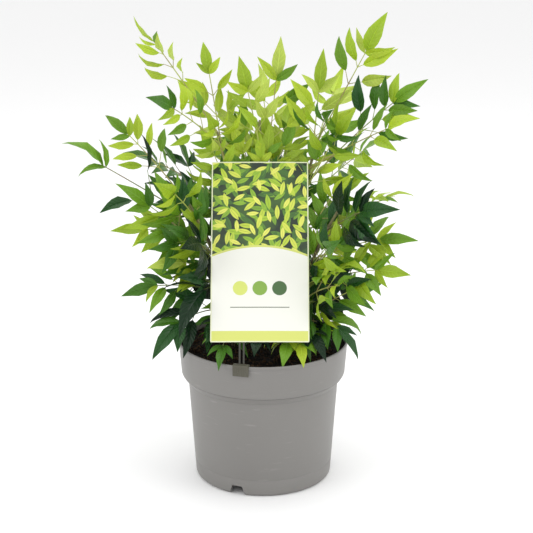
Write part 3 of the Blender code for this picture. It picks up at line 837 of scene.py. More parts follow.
def mesh_object(name: str, verts: np.ndarray, sizes: np.ndarray, loops: np.ndarray) -> Piece:
    """Make one object from arrays.

    Args:
        name: The object's name.
        verts: Vertices, as rows of three.
        sizes: How many corners each face has.
        loops: The faces' corners, one after another.

    Returns:
        The new object, smooth all over.
    """
    mesh = bpy.data.meshes.new(name)
    mesh.vertices.add(len(verts))
    mesh.vertices.foreach_set("co", verts.astype(np.float32).ravel())
    mesh.loops.add(len(loops))
    mesh.loops.foreach_set("vertex_index", loops.astype(np.int32))
    mesh.polygons.add(len(sizes))
    starts = np.concatenate(([0], np.cumsum(sizes)[:-1]))
    mesh.polygons.foreach_set("loop_start", starts.astype(np.int32))
    mesh.polygons.foreach_set("use_smooth", np.ones(len(sizes), bool))
    mesh.update(calc_edges=True)
    obj = bpy.data.objects.new(name, mesh)
    bpy.context.scene.collection.objects.link(obj)
    return obj


def limb(points: Sequence[Vector], radii: Sequence[float], sides: int) -> Shape:
    """Return a tapering limb with closed ends.

    Args:
        points: Its centre line.
        radii: Its radius at each point.
        sides: How many sides it has.

    Returns:
        Its vertices and faces.
    """
    last = len(points) - 1
    tangents = [(points[min(k + 1, last)] - points[max(k - 1, 0)]).normalized() for k in range(last + 1)]
    across = tangents[0].orthogonal().normalized()
    verts = []
    for point, tangent, radius in zip(points, tangents, radii):
        across = (across - tangent * across.dot(tangent)).normalized()
        over = tangent.cross(across)
        for k in range(sides):
            angle = math.tau * k / sides
            verts.append(point + radius * (across * math.cos(angle) + over * math.sin(angle)))
    faces = []
    for ring in range(last):
        for k in range(sides):
            here = ring * sides + k
            beside = ring * sides + (k + 1) % sides
            faces.append((here, beside, beside + sides, here + sides))
    faces.append(tuple(reversed(range(sides))))
    faces.append(tuple(range(last * sides, (last + 1) * sides)))
    return verts, faces


def joined_shapes(name: str, shapes: Sequence[Shape]) -> Piece:
    """Join many small shapes into one object.

    Args:
        name: The object's name.
        shapes: The shapes.

    Returns:
        The object.
    """
    counts = [len(verts) for verts, _ in shapes]
    offsets = np.concatenate(([0], np.cumsum(counts)[:-1]))
    verts = np.array([tuple(v) for shape, _ in shapes for v in shape])
    sizes = np.array([len(face) for _, faces in shapes for face in faces])
    moved = zip([faces for _, faces in shapes], offsets)
    loops = np.array([i + offset for faces, offset in moved for face in faces for i in face])
    return mesh_object(name, verts, sizes, loops)


@dataclass
class Pot:
    """A grey nursery pot: a wide band, a rounded shoulder, a body and a notched skirt."""

    height: float = 0.162
    rim_radius: float = 0.0970
    band_foot_radius: float = 0.0936
    band_foot_height: float = 0.1262
    crease_radii: tuple = (0.0923, 0.0929)
    crease_height: float = 0.1225
    groove: float = 0.0005
    shoulder_radius: float = 0.0893
    shoulder_height: float = 0.1183
    shoulder_round: tuple = (
        (0.0861, 0.1144),
        (0.0866, 0.1151),
        (0.0874, 0.1161),
        (0.0884, 0.1173),
        (0.0893, 0.1183),
        (0.0904, 0.1195),
        (0.0914, 0.1207),
        (0.0920, 0.1216),
    )
    neck_radius: float = 0.0857
    neck_height: float = 0.1138
    foot_radius: float = 0.0784
    foot_round: float = 0.0045
    foot_steps: int = 8
    ring_height: float = 0.0196
    ring_half: float = 0.0005
    ring_sink: float = 0.00022
    wall: float = 0.0020
    lip: float = 0.0009
    lip_steps: int = 5
    lip_drop: float = 0.0034
    lip_step: float = 0.0006
    mouth_round: float = 0.0004
    soft_edge: float = 0.0001
    skirt: float = 0.0120
    skirt_thick: float = 0.0050
    pad_radius: float = 0.0400
    pad_slope: float = 0.0040
    pad_round: float = 0.0005
    floor_flare: float = 0.0010
    steps: int = 160
    notch_first_deg: float = -112.0
    notches: int = 3
    notch_width: float = 0.0190
    notch_height: float = 0.0112
    notch_taper: float = 0.0035
    holes: int = 6
    hole_sides: int = 28
    hole_radius: float = 0.0040
    hole_ring: float = 0.0595
    sharp_deg: float = 28.0

    def outer_line(self) -> list:
        """Draw the outer line from the foot up to the rim.

        Returns:
            Its points, as (r, z).
        """
        slope = (self.neck_radius - self.foot_radius) / (self.neck_height - self.foot_round)
        ring_radius = self.foot_radius + slope * (self.ring_height - self.foot_round)
        under, over = self.crease_radii
        inset = self.foot_radius - self.foot_round
        line = arc((inset, self.foot_round), self.foot_round, -90, 0, self.foot_steps)
        line += [
            (ring_radius, self.ring_height - self.ring_half),
            (ring_radius - self.ring_sink, self.ring_height),
            (ring_radius + 0.00002, self.ring_height + self.ring_half),
            (self.neck_radius - 0.00006, self.neck_height - 0.001),
            (self.neck_radius, self.neck_height),
            *self.shoulder_round,
            (under, self.crease_height - 0.0003),
            (under - self.groove, self.crease_height - self.soft_edge),
            (under - self.groove, self.crease_height + 0.0002),
            (over - 0.0002, self.crease_height + 0.0003),
            (over + self.soft_edge, self.crease_height + 0.0010),
            (self.band_foot_radius - self.soft_edge, self.band_foot_height - 0.0014),
            (self.band_foot_radius, self.band_foot_height),
        ]
        lip_under = self.height - self.lip_drop
        share = (lip_under - self.band_foot_height) / (self.height - self.band_foot_height)
        under_radius = self.band_foot_radius + (self.rim_radius - self.band_foot_radius) * share
        line += [
            (under_radius - self.lip_step, lip_under - self.lip_step),
            (under_radius - 0.0005, lip_under),
            (self.rim_radius - self.soft_edge, lip_under + self.lip_step),
        ]
        crest = (self.rim_radius - self.lip, self.height - self.lip)
        return line + arc(crest, self.lip, 0, 90, self.lip_steps)

    def inner_line(self) -> list:
        """Draw the inner line from the rim down to the raised floor.

        Returns:
            Its points, as (r, z).
        """
        turn = self.mouth_round
        mouth = (self.rim_radius - self.wall + turn, self.height - turn)
        return [
            *arc(mouth, turn, 90, 180, 3),
            (self.band_foot_radius - self.wall, self.band_foot_height),
            (self.neck_radius - self.wall, self.neck_height),
            (self.foot_radius - self.wall + self.floor_flare, self.skirt + self.wall),
        ]

    def inner_radius(self, height: float) -> float:
        """Return the inner wall's radius at a height in the band."""
        rise = (height - self.band_foot_height) / (self.height - self.band_foot_height)
        return self.band_foot_radius + (self.rim_radius - self.band_foot_radius) * rise - self.wall

    def cutters(self) -> list[Piece]:
        """Make what cuts the skirt's notches and the drain holes.

        Returns:
            The closed blocks and cylinders.
        """
        made = []
        depth = 6 * self.wall
        narrow = 1.0 - 2 * self.notch_taper / self.notch_width
        for k in range(self.notches):
            corner = (-depth / 2, -self.notch_width / 2, -self.notch_height)
            block = Bench.block((depth, self.notch_width, 2 * self.notch_height), corner)
            for vert in block.data.vertices:
                vert.co.y *= narrow if vert.co.z > 0.0 else 2.0 - narrow
            turn = self.notch_first_deg + 360.0 * k / self.notches
            block.rotation_euler.z = math.radians(turn)
            block.location = polar(self.foot_radius, turn)
            Bench.settle(block)
            made.append(block)
        for k in range(self.holes):
            Bench.clear()
            place = polar(self.hole_ring, self.notch_first_deg + 360.0 * (k + 0.5) / self.holes, self.skirt)
            bpy.ops.mesh.primitive_cylinder_add(
                vertices=self.hole_sides, radius=self.hole_radius, depth=4 * self.wall, location=place
            )
            Bench.settle(bpy.context.object)
            made.append(bpy.context.object)
        return made

    def build(self) -> None:
        """Turn the pot, cut its drainage and dress it."""
        underside = [
            (0.0, 0.0),
            (self.pad_radius - self.pad_round, 0.0),
            (self.pad_radius, 0.0004),
            (self.pad_radius + self.pad_slope, self.skirt),
            (self.foot_radius - self.skirt_thick, self.skirt),
            (self.foot_radius - self.skirt_thick, 0.0),
        ]
        floor = [
            (self.pad_radius + self.pad_slope, self.skirt + self.wall),
            (self.pad_radius, self.wall),
            (0.0, self.wall),
        ]
        profile = underside + self.outer_line() + self.inner_line() + floor
        pot = Bench.lathe("nursery_pot", profile, self.steps)
        cutter = Bench.join("drain_cutter", self.cutters())
        Bench.apply(pot, "BOOLEAN", operation="DIFFERENCE", object=cutter, solver="MANIFOLD")
        bpy.data.objects.remove(cutter, do_unlink=True)
        Bench.smooth(pot, self.sharp_deg)
        Bench.dress(pot, PotPlastic().material())
        hand_over(pot, ["pot"])


@dataclass
class Soil:
    """Lumpy potting mix with loose crumbs and fibres on it."""

    pot: Pot
    top: float = 0.1520
    rings: int = 34
    steps: int = 144
    lift: float = 0.0004
    lump: float = 0.0016
    lumps: tuple = ((55, 0.3, 1.0), (210, 4.1, 0.6), (620, 9.7, 0.3))
    crumbs: int = 1500
    crumb_size: float = 0.0005
    crumb_range: float = 0.0016
    crumb_bias: float = 2.5
    crumb_margin: float = 0.003
    crumb_stretch: tuple = (0.6, 1.3)
    crumb_dents: tuple = (0.75, 1.15)
    crumb_tilt: float = 0.2
    crumb_rise: float = 0.4
    fibres: int = 420
    fibre_margin: float = 0.010
    fibre_lengths: tuple = (0.003, 0.011)
    fibre_lifts: tuple = (0.0002, 0.0012)
    fibre_radii: tuple = (0.00015, 0.0004)
    fibre_parts: tuple = (0.0, 0.35, 0.7, 1.0)
    swerves: tuple = (-0.4, 0.4)
    wall_margin: float = 0.001
    seed: int = 71

    def edge_radius(self) -> float:
        """Return the radius of the mix where it meets the pot's inner wall."""
        return self.pot.inner_radius(self.top) - GAP

    def height_at(self, x: float, y: float) -> float:
        """Work out the lumpy surface's height.

        Args:
            x, y: The place.

        Returns:
            The height.
        """
        rise = 0.0
        for scale, layer, weight in self.lumps:
            rise += weight * noise.noise(Vector((x * scale, y * scale, layer)))
        return self.top + self.lift + self.lump * rise

    def bed(self) -> Piece:
        """Turn the body of the mix and raise lumps on its top.

        Returns:
            The bed.
        """
        pot = self.pot
        floor = pot.skirt + pot.wall + GAP
        edge = self.edge_radius()
        profile = [
            (0.0, pot.wall + GAP),
            (pot.pad_radius - 2 * GAP, pot.wall + GAP),
            (pot.pad_radius + pot.pad_slope - 2 * GAP, floor),
            (pot.foot_radius - pot.wall + pot.floor_flare - 2 * GAP, floor),
            (pot.neck_radius - pot.wall - 2 * GAP, pot.neck_height),
            (pot.shoulder_radius - pot.wall - 2 * GAP, pot.shoulder_height),
            (pot.crease_radii[0] - pot.wall - 2 * GAP, pot.crease_height),
            (pot.band_foot_radius - pot.wall - 2 * GAP, pot.band_foot_height),
            (edge - 0.0002, self.top - 0.003),
            *[(edge * (1 - k / self.rings), self.top) for k in range(self.rings + 1)],
        ]
        bed = Bench.lathe("potting_mix_bed", profile, self.steps)
        for vert in bed.data.vertices:
            if vert.co.z > self.top - 0.0001:
                vert.co.z = self.height_at(vert.co.x, vert.co.y)
        Bench.smooth(bed, sharp_deg=60.0)
        return bed

    def crumb_pattern(self) -> Shape:
        """Model one crumb from a small sphere.

        Returns:
            Its vertices and faces.
        """
        Bench.clear()
        bpy.ops.mesh.primitive_ico_sphere_add(subdivisions=1, radius=1.0)
        crumb = bpy.context.object
        verts = [vert.co.copy() for vert in crumb.data.vertices]
        faces = [tuple(face.vertices) for face in crumb.data.polygons]
        bpy.data.objects.remove(crumb, do_unlink=True)
        return verts, faces

    def spot(self, chance: Random, margin: float) -> Vector:
        """Choose a random place on the surface.

        Args:
            chance: The draws.
            margin: How far in from the pot's wall it stays.

        Returns:
            The place.
        """
        radius = (self.edge_radius() - margin) * math.sqrt(chance.random())
        place = polar(radius, chance.uniform(0.0, 360.0))
        place.z = self.height_at(place.x, place.y)
        return place

    def litter(self) -> list[Shape]:
        """Strew the loose crumbs and the fibres.

        Returns:
            Their shapes.
        """
        chance = Random(self.seed)
        verts, faces = self.crumb_pattern()
        shapes = []
        for _ in range(self.crumbs):
            size = self.crumb_size + self.crumb_range * chance.random() ** self.crumb_bias
            place = self.spot(chance, self.crumb_margin)
            axis = Vector([chance.uniform(-1, 1) for _ in range(3)]).normalized()
            stretch = [chance.uniform(*self.crumb_stretch) for _ in range(3)]
            shape = []
            for vert in verts:
                dented = Vector([c * s * chance.uniform(*self.crumb_dents) for c, s in zip(vert, stretch)])
                shape.append(place + (dented + axis * self.crumb_tilt) * size + UP * size * self.crumb_rise)
            shapes.append((shape, faces))
        limit = self.edge_radius() - self.wall_margin
        for _ in range(self.fibres):
            start = self.spot(chance, self.fibre_margin)
            aim = polar(chance.uniform(*self.fibre_lengths), chance.uniform(0.0, 360.0))
            swerve = UP.cross(aim) * chance.uniform(*self.swerves)
            points = [start + aim * s + swerve * s * (1 - s) * 2 for s in self.fibre_parts]
            for point in points:
                if point.xy.length > limit:
                    point.xy = point.xy * (limit / point.xy.length)
                point.z = self.height_at(point.x, point.y) + chance.uniform(*self.fibre_lifts)
            shapes.append(limb(points, [chance.uniform(*self.fibre_radii)] * len(points), 3))
        return shapes

    def build(self) -> None:
        """Make the bed and its litter and dress both."""
        bed = self.bed()
        Bench.dress(bed, PottingMix().material("potting_mix", 0.9))
        hand_over(bed, ["soil"])
        litter = joined_shapes("potting_mix_litter", self.litter())
        litter.data.polygons.foreach_set("use_smooth", np.zeros(len(litter.data.polygons), bool))
        Bench.dress(litter, PottingMix(light=linear(84, 64, 46)).material("potting_litter", 2.2))
        hand_over(litter, [])


@dataclass
class Label:
    """A printed card that leans back on two strips from a ribbed clip over the rim."""

    pot: Pot
    lean_deg: float = 32.0
    middle_x: float = -0.0035
    start: float = 0.0245
    corner: float = 0.0016
    corner_steps: int = 5
    bow: float = 0.0009
    bow_parts: int = 8
    clip_deg: float = -104.4
    clip_width: float = 0.0180
    clip_wall: float = 0.0012
    clip_drop: float = 0.0115
    clip_inner_foot: float = 0.1535
    clip_edge: float = 0.00022
    leg_share: float = 0.75
    ribs: int = 7
    rib_share: float = 0.5
    rib_width: float = 0.0010
    rib_foot: float = 0.0012
    rib_short: float = 0.0016
    strip_width: float = 0.0020
    strip_thick: float = 0.0008
    strip_edge: float = 0.0002
    strip_spacing: float = 0.0044
    strip_length: float = 0.1150

    def along(self) -> Vector:
        """Return the card's upward line."""
        lean = math.radians(self.lean_deg)
        return Vector((0.0, math.sin(lean), math.cos(lean)))

    def front(self) -> Vector:
        """Return the side that the card's print faces."""
        lean = math.radians(self.lean_deg)
        return Vector((0.0, -math.cos(lean), math.sin(lean)))

    def hinge(self) -> Vector:
        """Return the point over the clip that the strips rise from."""
        height = self.pot.height + 2 * GAP + self.clip_wall / 2
        return polar(self.pot.rim_radius - 2 * self.pot.wall, self.clip_deg, height)

    def inner_leg_radius(self) -> float:
        """Return where the clip's inner leg meets the inside of the rim."""
        radius = self.pot.inner_radius(self.clip_inner_foot)
        return math.sqrt(radius**2 - (self.clip_width / 2) ** 2) - 2 * GAP

    def lay(self, obj: Piece, corner: Vector) -> None:
        """Stand a flat mesh, drawn in x and y with its face up, in the card's plane.

        Args:
            obj: The mesh's object.
            corner: Where its lower left corner comes.
        """
        along, front = self.along(), self.front()
        for vert in obj.data.vertices:
            x, y, z = vert.co
            vert.co = corner + Vector((x, 0.0, 0.0)) + along * y + front * z
        obj.data.update()

    def build_card(self) -> None:
        """Model the card with round corners and a slight bow, and print its front."""
        Bench.clear()
        bpy.ops.mesh.primitive_plane_add(size=1.0)
        card = bpy.context.object
        card.name = "plant_label_card"
        Bench.edit(card)
        bpy.ops.transform.resize(value=(CARD_WIDTH, CARD_LENGTH, 1.0), center_override=(0.0, 0.0, 0.0))
        bpy.ops.transform.translate(value=(CARD_WIDTH / 2, CARD_LENGTH / 2, 0.0))
        bpy.ops.mesh.bevel(offset=self.corner, segments=self.corner_steps, affect="VERTICES")
        Bench.close()
        for line in range(1, self.bow_parts):
            Bench.edit(card)
            cut = (CARD_WIDTH * line / self.bow_parts, 0.0, 0.0)
            bpy.ops.mesh.bisect(plane_co=cut, plane_no=(1.0, 0.0, 0.0))
            Bench.close()
        Bench.edit(card)
        bpy.ops.mesh.extrude_region_move(TRANSFORM_OT_translate={"value": (0.0, 0.0, CARD_THICK)})
        bpy.ops.mesh.select_all(action="SELECT")
        bpy.ops.mesh.normals_make_consistent(inside=False)
        Bench.close()
        uv = card.data.uv_layers[0]
        for loop in card.data.loops:
            x, y, _ = card.data.vertices[loop.vertex_index].co
            uv.data[loop.index].uv = (x / CARD_WIDTH, y / CARD_WIDTH)
        plain = ClipPlastic("card_back", linear(240, 240, 234), 0.35).material()
        Bench.dress(card, plain, PrintedCard().material())
        for face in card.data.polygons:
            face.material_index = 1 if face.normal.z > 0.9 else 0
        for vert in card.data.vertices:
            share = vert.co.x / CARD_WIDTH * 2 - 1
            vert.co.z -= self.bow * share * share
        corner = self.hinge() + self.along() * self.start + self.front() * (self.strip_thick / 2 + GAP)
        corner.x = self.middle_x - CARD_WIDTH / 2
        self.lay(card, corner)
        Bench.smooth(card, sharp_deg=30.0)
        hand_over(card, ["label_card"])

    def build_clip(self) -> None:
        """Model the clip over the rim and its ribs."""
        outer = self.pot.rim_radius + GAP
        inner = self.inner_leg_radius()
        crown = self.pot.height + GAP
        width, wall = self.clip_width, self.clip_wall
        outer_foot = crown - self.clip_drop
        inner_height = crown - self.clip_inner_foot + wall
        side = -width / 2
        parts = [
            Bench.block((wall * self.leg_share, width, self.clip_drop + wall), (outer, side, outer_foot)),
            Bench.block((wall, width, inner_height), (inner - wall, side, self.clip_inner_foot)),
            Bench.block((outer - inner + wall, width, wall), (inner - wall / 2, side, crown)),
        ]
        rib_size = (wall * self.rib_share, self.rib_width, self.clip_drop - self.rib_short)
        for k in range(self.ribs):
            middle = width * ((k + 0.5) / self.ribs - 0.5)
            rib = (outer + wall * self.rib_share, middle - self.rib_width / 2, outer_foot + self.rib_foot)
            parts.append(Bench.block(rib_size, rib))
        for part in parts:
            Bench.apply(part, "BEVEL", width=self.clip_edge, segments=2)
        clip = Bench.join("rim_clip", parts)
        clip.rotation_euler.z = math.radians(self.clip_deg)
        Bench.settle(clip)
        Bench.smooth(clip, sharp_deg=35.0)
        Bench.dress(clip, ClipPlastic("clip_plastic", linear(74, 72, 60)).material())
        hand_over(clip, ["label_clip"])

    def build_strips(self) -> None:
        """Model the two strips that carry the card."""
        strips = []
        for hand in (-1.0, 1.0):
            strip = Bench.block((self.strip_width, self.strip_length, self.strip_thick))
            Bench.apply(strip, "BEVEL", width=self.strip_edge, segments=2)
            corner = self.hinge() - self.along() * self.strip_thick - self.front() * self.strip_thick / 2
            corner.x += hand * self.strip_spacing / 2 - self.strip_width / 2
            self.lay(strip, corner)
            strips.append(strip)
        pair = Bench.join("label_strips", strips)
        Bench.smooth(pair, sharp_deg=35.0)
        Bench.dress(pair, ClipPlastic("strip_plastic", linear(52, 51, 44), 0.5).material())
        hand_over(pair, [])

    def build(self) -> None:
        """Make the card, its clip and its strips."""
        self.build_card()
        self.build_clip()
        self.build_strips()


def bent(start: Vector, middle: Vector, end: Vector, share: float) -> Vector:
    """Return a point on the quadratic curve from start to end."""
    rest = 1.0 - share
    return start * rest * rest + middle * (2.0 * rest * share) + end * share * share


@dataclass(frozen=True)
class Cane:
    """A woody stem, upright at the soil and leaning out to its top."""

    name: str
    foot: tuple
    top: tuple
    radius: float = 0.0026
    tip_radius: float = 0.0014
    soil_top: float = 0.1520
    rooted: float = 0.004
    rings: int = 150
    sides: int = 14
    joints: int = 7
    swell: float = 0.16
    swell_limit: float = 1.2
    swell_sharpness: float = 60.0
    root_swell: float = 1.15
    bud_length: float = 0.0012
    bud_share: float = 0.45
    furrows: tuple = ((1.0, 0.10), (2.7, 0.07))
    furrow_turns: float = 2.2
    furrow_rise: float = 0.06
    furrow_shift: float = 50.0

    def handles(self) -> tuple[Vector, Vector, Vector]:
        """Work out the handles of the cane's curve.

        Returns:
            Its start, its middle and its end.
        """
        foot = Vector((*self.foot, self.soil_top + GAP))
        top = Vector(self.top)
        return foot, foot + UP * 0.5 * (top.z - foot.z), top

    def point(self, share: float) -> Vector:
        """Return a point on the centre line, from 0 at the soil to 1 at the top."""
        return bent(*self.handles(), share)

    def radius_at(self, share: float) -> float:
        """Return the radius at a share of the height."""
        return self.radius + (self.tip_radius - self.radius) * share

    def build(self, attached: Sequence[float]) -> None:
        """Model the cane's bark, with furrows, rings and a bud at its top.

        Args:
            attached: The shares of the height at which leaves leave the cane.
        """
        inner = {k / self.joints for k in range(1, self.joints)}
        joints = sorted({round(share, 3) for share in attached} | inner)
        points, radii = [], []
        for k in range(self.rings + 1):
            share = k / self.rings
            points.append(self.point(share))
            swell = sum(math.exp(-(((share - j) * self.swell_sharpness) ** 2)) for j in joints)
            radii.append(self.radius_at(share) * (1.0 + self.swell * min(swell, self.swell_limit)))
        points.insert(0, points[0] - UP * self.rooted)
        radii.insert(0, radii[0] * self.root_swell)
        top_line = (points[-1] - points[-2]).normalized()
        points.append(points[-1] + top_line * self.bud_length)
        radii.append(radii[-1] * self.bud_share)
        verts, faces = limb(points, radii, self.sides)
        shift = Vector((self.foot[0] * self.furrow_shift, self.foot[1] * self.furrow_shift, 0.0))
        for index, vert in enumerate(verts):
            ring = index // self.sides
            out = vert - points[ring]
            angle = math.tau * (index % self.sides) / self.sides
            run, rise = math.cos(angle) * self.furrow_turns, math.sin(angle) * self.furrow_turns
            where = Vector((run, rise, ring * self.furrow_rise)) + shift
            vert += out * sum(depth * noise.noise(where * scale) for scale, depth in self.furrows)
        cane = joined_shapes("bark_" + self.name, [(verts, faces)])
        Bench.smooth(cane, sharp_deg=50.0)
        Bench.dress(cane, Bark().material())
        hand_over(cane, ["cane_" + self.name])


@dataclass(frozen=True)
class FellowRule:
    """How the fellows of a compound leaf differ from it, as ranges of their draws."""

    seed: int = 500
    lowest_start: float = 0.10
    lower: tuple = (0.04, 0.14)
    turns: tuple = (10.0, 30.0)
    reaches: tuple = (0.58, 0.88)
    drops: tuple = (-0.008, 0.035)
    step: float = 0.018
    lowest_tip: float = 0.192
    bows: tuple = (0.8, 1.4)
    leaves: tuple = (0.86, 1.02)


FELLOWS = FellowRule()


@dataclass(frozen=True)
class Spray:
    """One compound leaf: where it starts on its cane and where its tip is."""

    name: str
    cane: str
    start: float
    azimuth: float
    reach: float
    height: float
    face: float
    bough: float
    bare: float
    bow: float
    nodes: int
    leaf: float
    droop: float
    tone: Tone
    fill: int = 1
    darker: int = 0
    roll_deg: float = 0.0

    def fellows(self, seed: int) -> Iterator["Spray"]:
        """Yield shorter leaves that rise beside this one and fill its room.

        Args:
            seed: The seed of this spray's fellows.

        Yields:
            The fellows, which stay within this spray's reach.
        """
        chance = Random(FELLOWS.seed + seed)
        for k in range(self.fill - 1):
            hand = 1 if (k + seed) % 2 else -1
            yield replace(
                self,
                start=max(FELLOWS.lowest_start, self.start - chance.uniform(*FELLOWS.lower) * (k + 1)),
                azimuth=self.azimuth + hand * chance.uniform(*FELLOWS.turns),
                reach=self.reach * chance.uniform(*FELLOWS.reaches),
                height=max(
                    FELLOWS.lowest_tip, self.height - chance.uniform(*FELLOWS.drops) - FELLOWS.step * k
                ),
                bough=0.0,
                bow=self.bow * chance.uniform(*FELLOWS.bows),
                leaf=self.leaf * chance.uniform(*FELLOWS.leaves),
                nodes=max(2, self.nodes),
                # Painted shade: later fellows stand lower and further inside, so they come one shade darker,
                # partly also as older leaves.
                darker=min(1, k),
            )


class Leaflet(NamedTuple):
    """A leaflet: its place, size, shade, seed of its form and whether it is an added one."""

    base: Vector
    along: Vector
    face: Vector
    length: float
    shade: Shade
    form: float
    extra: bool


CANES = (
    Cane("west", (-0.034, 0.000), (-0.086, 0.002, 0.325)),
    Cane("northwest", (-0.018, 0.027), (-0.052, 0.042, 0.392)),
    Cane("middle", (0.002, 0.012), (-0.004, 0.056, 0.402)),
    Cane("northeast", (0.026, 0.024), (0.062, 0.050, 0.382)),
    Cane("east", (0.036, -0.008), (0.088, -0.008, 0.322)),
    Cane("back", (0.004, 0.042), (0.010, 0.096, 0.342)),
)

L, F, D = Tone.LIME, Tone.FRESH, Tone.DARK
SPRAYS = (
    Spray("nw_tall", "northwest", 1.0, 172, 0.142, 0.526, -152, 0.3, 0.25, 0.04, 3, 0.037, -0.05, L, 0),
    Spray("n_left", "northwest", 0.9, 134, 0.097, 0.49, -90, 0.0, 0.35, 0.05, 2, 0.034, 0.0, L, 0),
    Spray("north", "middle", 0.62, 74, 0.073, 0.498, -80, 0.0, 0.5, 0.02, 2, 0.047, -0.05, L, 0),
    Spray("n_right", "northeast", 0.9, 42, 0.091, 0.484, -85, 0.0, 0.3, 0.05, 2, 0.047, -0.05, L, 0),
    Spray("ne_tall", "northeast", 1.0, 8, 0.138, 0.532, -85, 0.35, 0.25, 0.0, 2, 0.05, -0.05, L, 0),
    Spray("ene", "northeast", 0.78, 0, 0.178, 0.46, -75, 0.4, 0.2, 0.08, 3, 0.045, 0.0, F, 0),
    Spray("e_blades", "northeast", 0.86, -11, 0.172, 0.424, -80, 0.0, 0.3, 0.06, 3, 0.042, 0.0, L, 0, 1),
    Spray("e_far", "northeast", 0.55, 10, 0.176, 0.322, 0, 0.35, 0.1, 0.1, 3, 0.038, 0.06, L, 1),
    Spray("e_dark", "east", 0.82, -26, 0.162, 0.338, -60, 0.0, 0.3, 0.12, 3, 0.052, 0.1, D, 1),
    Spray("e_lime", "east", 0.62, -13, 0.176, 0.292, -50, 0.0, 0.3, 0.12, 3, 0.044, 0.1, L, 3, 1),
    Spray("e_low", "east", 0.42, -24, 0.176, 0.262, -70, 0.25, 0.12, 0.14, 3, 0.04, 0.15, L, 3, 1),
    Spray("e_droop", "northeast", 0.28, 2, 0.136, 0.194, -60, 0.0, 0.4, 0.2, 2, 0.044, 0.3, D, 3),
    Spray("se_rim", "east", 0.24, -33, 0.137, 0.157, -60, 0.0, 0.35, 0.34, 2, 0.042, 0.35, F, 2),
    Spray("s_right", "east", 0.1, -66, 0.11, 0.164, -90, 0.0, 0.45, 0.26, 1, 0.036, 0.4, L, 1),
    Spray("s_left", "west", 0.1, -115, 0.116, 0.16, -90, 0.0, 0.45, 0.26, 1, 0.034, 0.4, F, 1),
    Spray("w_upper", "northwest", 0.94, -171, 0.127, 0.445, -80, 0.0, 0.35, 0.1, 3, 0.038, 0.0, L, 0, 1),
    Spray("w_lime", "west", 0.9, 167, 0.18, 0.412, -100, 0.25, 0.3, 0.1, 3, 0.034, 0.05, L, 1, 1),
    Spray("w_far", "west", 0.84, -172, 0.221, 0.396, -110, 0.0, 0.5, 0.02, 1, 0.052, 0.04, D, 0, -1, 42.0),
    Spray("w_mid", "west", 0.6, -162, 0.167, 0.357, -100, 0.0, 0.32, 0.04, 3, 0.047, 0.04, F, 2),
    Spray("w_mid_low", "northwest", 0.42, -176, 0.172, 0.294, -120, 0.35, 0.2, 0.12, 2, 0.04, 0.05, F, 0, -1),
    Spray("w_front", "west", 0.82, -143, 0.142, 0.368, -110, 0.0, 0.3, 0.1, 2, 0.046, 0.05, L, 1, 1),
    Spray("w_low", "west", 0.5, -164, 0.135, 0.262, -110, 0.0, 0.3, 0.14, 2, 0.044, 0.15, L, 0),
    Spray("sw_low", "west", 0.36, -169, 0.165, 0.225, -120, 0.0, 0.45, 0.16, 3, 0.04, 0.2, D, 0, -2),
    Spray("sw_dark", "west", 0.24, -152, 0.153, 0.157, -100, 0.0, 0.35, 0.34, 2, 0.05, 0.35, D, 1),
    Spray("in_top", "middle", 0.86, 131, 0.04, 0.48, -90, 0.0, 0.3, 0.06, 2, 0.04, 0.0, L, 1),
    Spray("in_top_left", "northwest", 0.86, -150, 0.07, 0.432, -90, 0.0, 0.3, 0.1, 2, 0.042, 0.05, L, 3),
    Spray("in_top_right", "northeast", 0.95, -28, 0.085, 0.436, -85, 0.0, 0.3, 0.08, 2, 0.042, 0.0, F, 2),
    Spray("in_left", "west", 0.6, -137, 0.12, 0.3, -90, 0.0, 0.25, 0.16, 2, 0.05, 0.1, D, 0, 1),
    Spray("in_right", "east", 0.5, -46, 0.118, 0.306, -80, 0.0, 0.25, 0.12, 2, 0.042, 0.1, F, 2),
    Spray("in_left_low", "west", 0.4, -134, 0.142, 0.207, -110, 0.0, 0.45, 0.3, 1, 0.068, 0.1, D, 1),
    Spray("in_right_low", "east", 0.32, -40, 0.108, 0.214, -80, 0.0, 0.25, 0.16, 2, 0.04, 0.15, F, 2, 1),
    Spray("b_nw", "back", 0.92, 130, 0.155, 0.44, 110, 0.0, 0.35, 0.08, 3, 0.042, 0.0, L, 0),
    Spray("b_north", "back", 1.0, 92, 0.172, 0.45, 90, 0.0, 0.25, 0.08, 3, 0.044, 0.0, L, 0),
    Spray("b_ne", "northeast", 0.86, 55, 0.165, 0.455, 70, 0.0, 0.35, 0.08, 3, 0.044, 0.0, L, 0),
    Spray("b_w_mid", "northwest", 0.62, 150, 0.19, 0.36, 130, 0.3, 0.12, 0.12, 3, 0.044, 0.05, F, 3),
    Spray("b_mid", "back", 0.72, 98, 0.2, 0.372, 90, 0.0, 0.35, 0.12, 3, 0.046, 0.1, F, 3),
    Spray("b_e_mid", "northeast", 0.66, 38, 0.188, 0.372, 60, 0.3, 0.12, 0.12, 3, 0.044, 0.05, F, 1),
    Spray("b_w_low", "northwest", 0.26, 138, 0.168, 0.245, 120, 0.0, 0.35, 0.2, 3, 0.044, 0.2, D, 2),
    Spray("b_low", "back", 0.36, 84, 0.18, 0.262, 90, 0.0, 0.35, 0.2, 3, 0.046, 0.2, D, 3),
    Spray("b_e_low", "northeast", 0.42, 46, 0.165, 0.27, 60, 0.0, 0.35, 0.2, 3, 0.044, 0.2, D, 3),
)
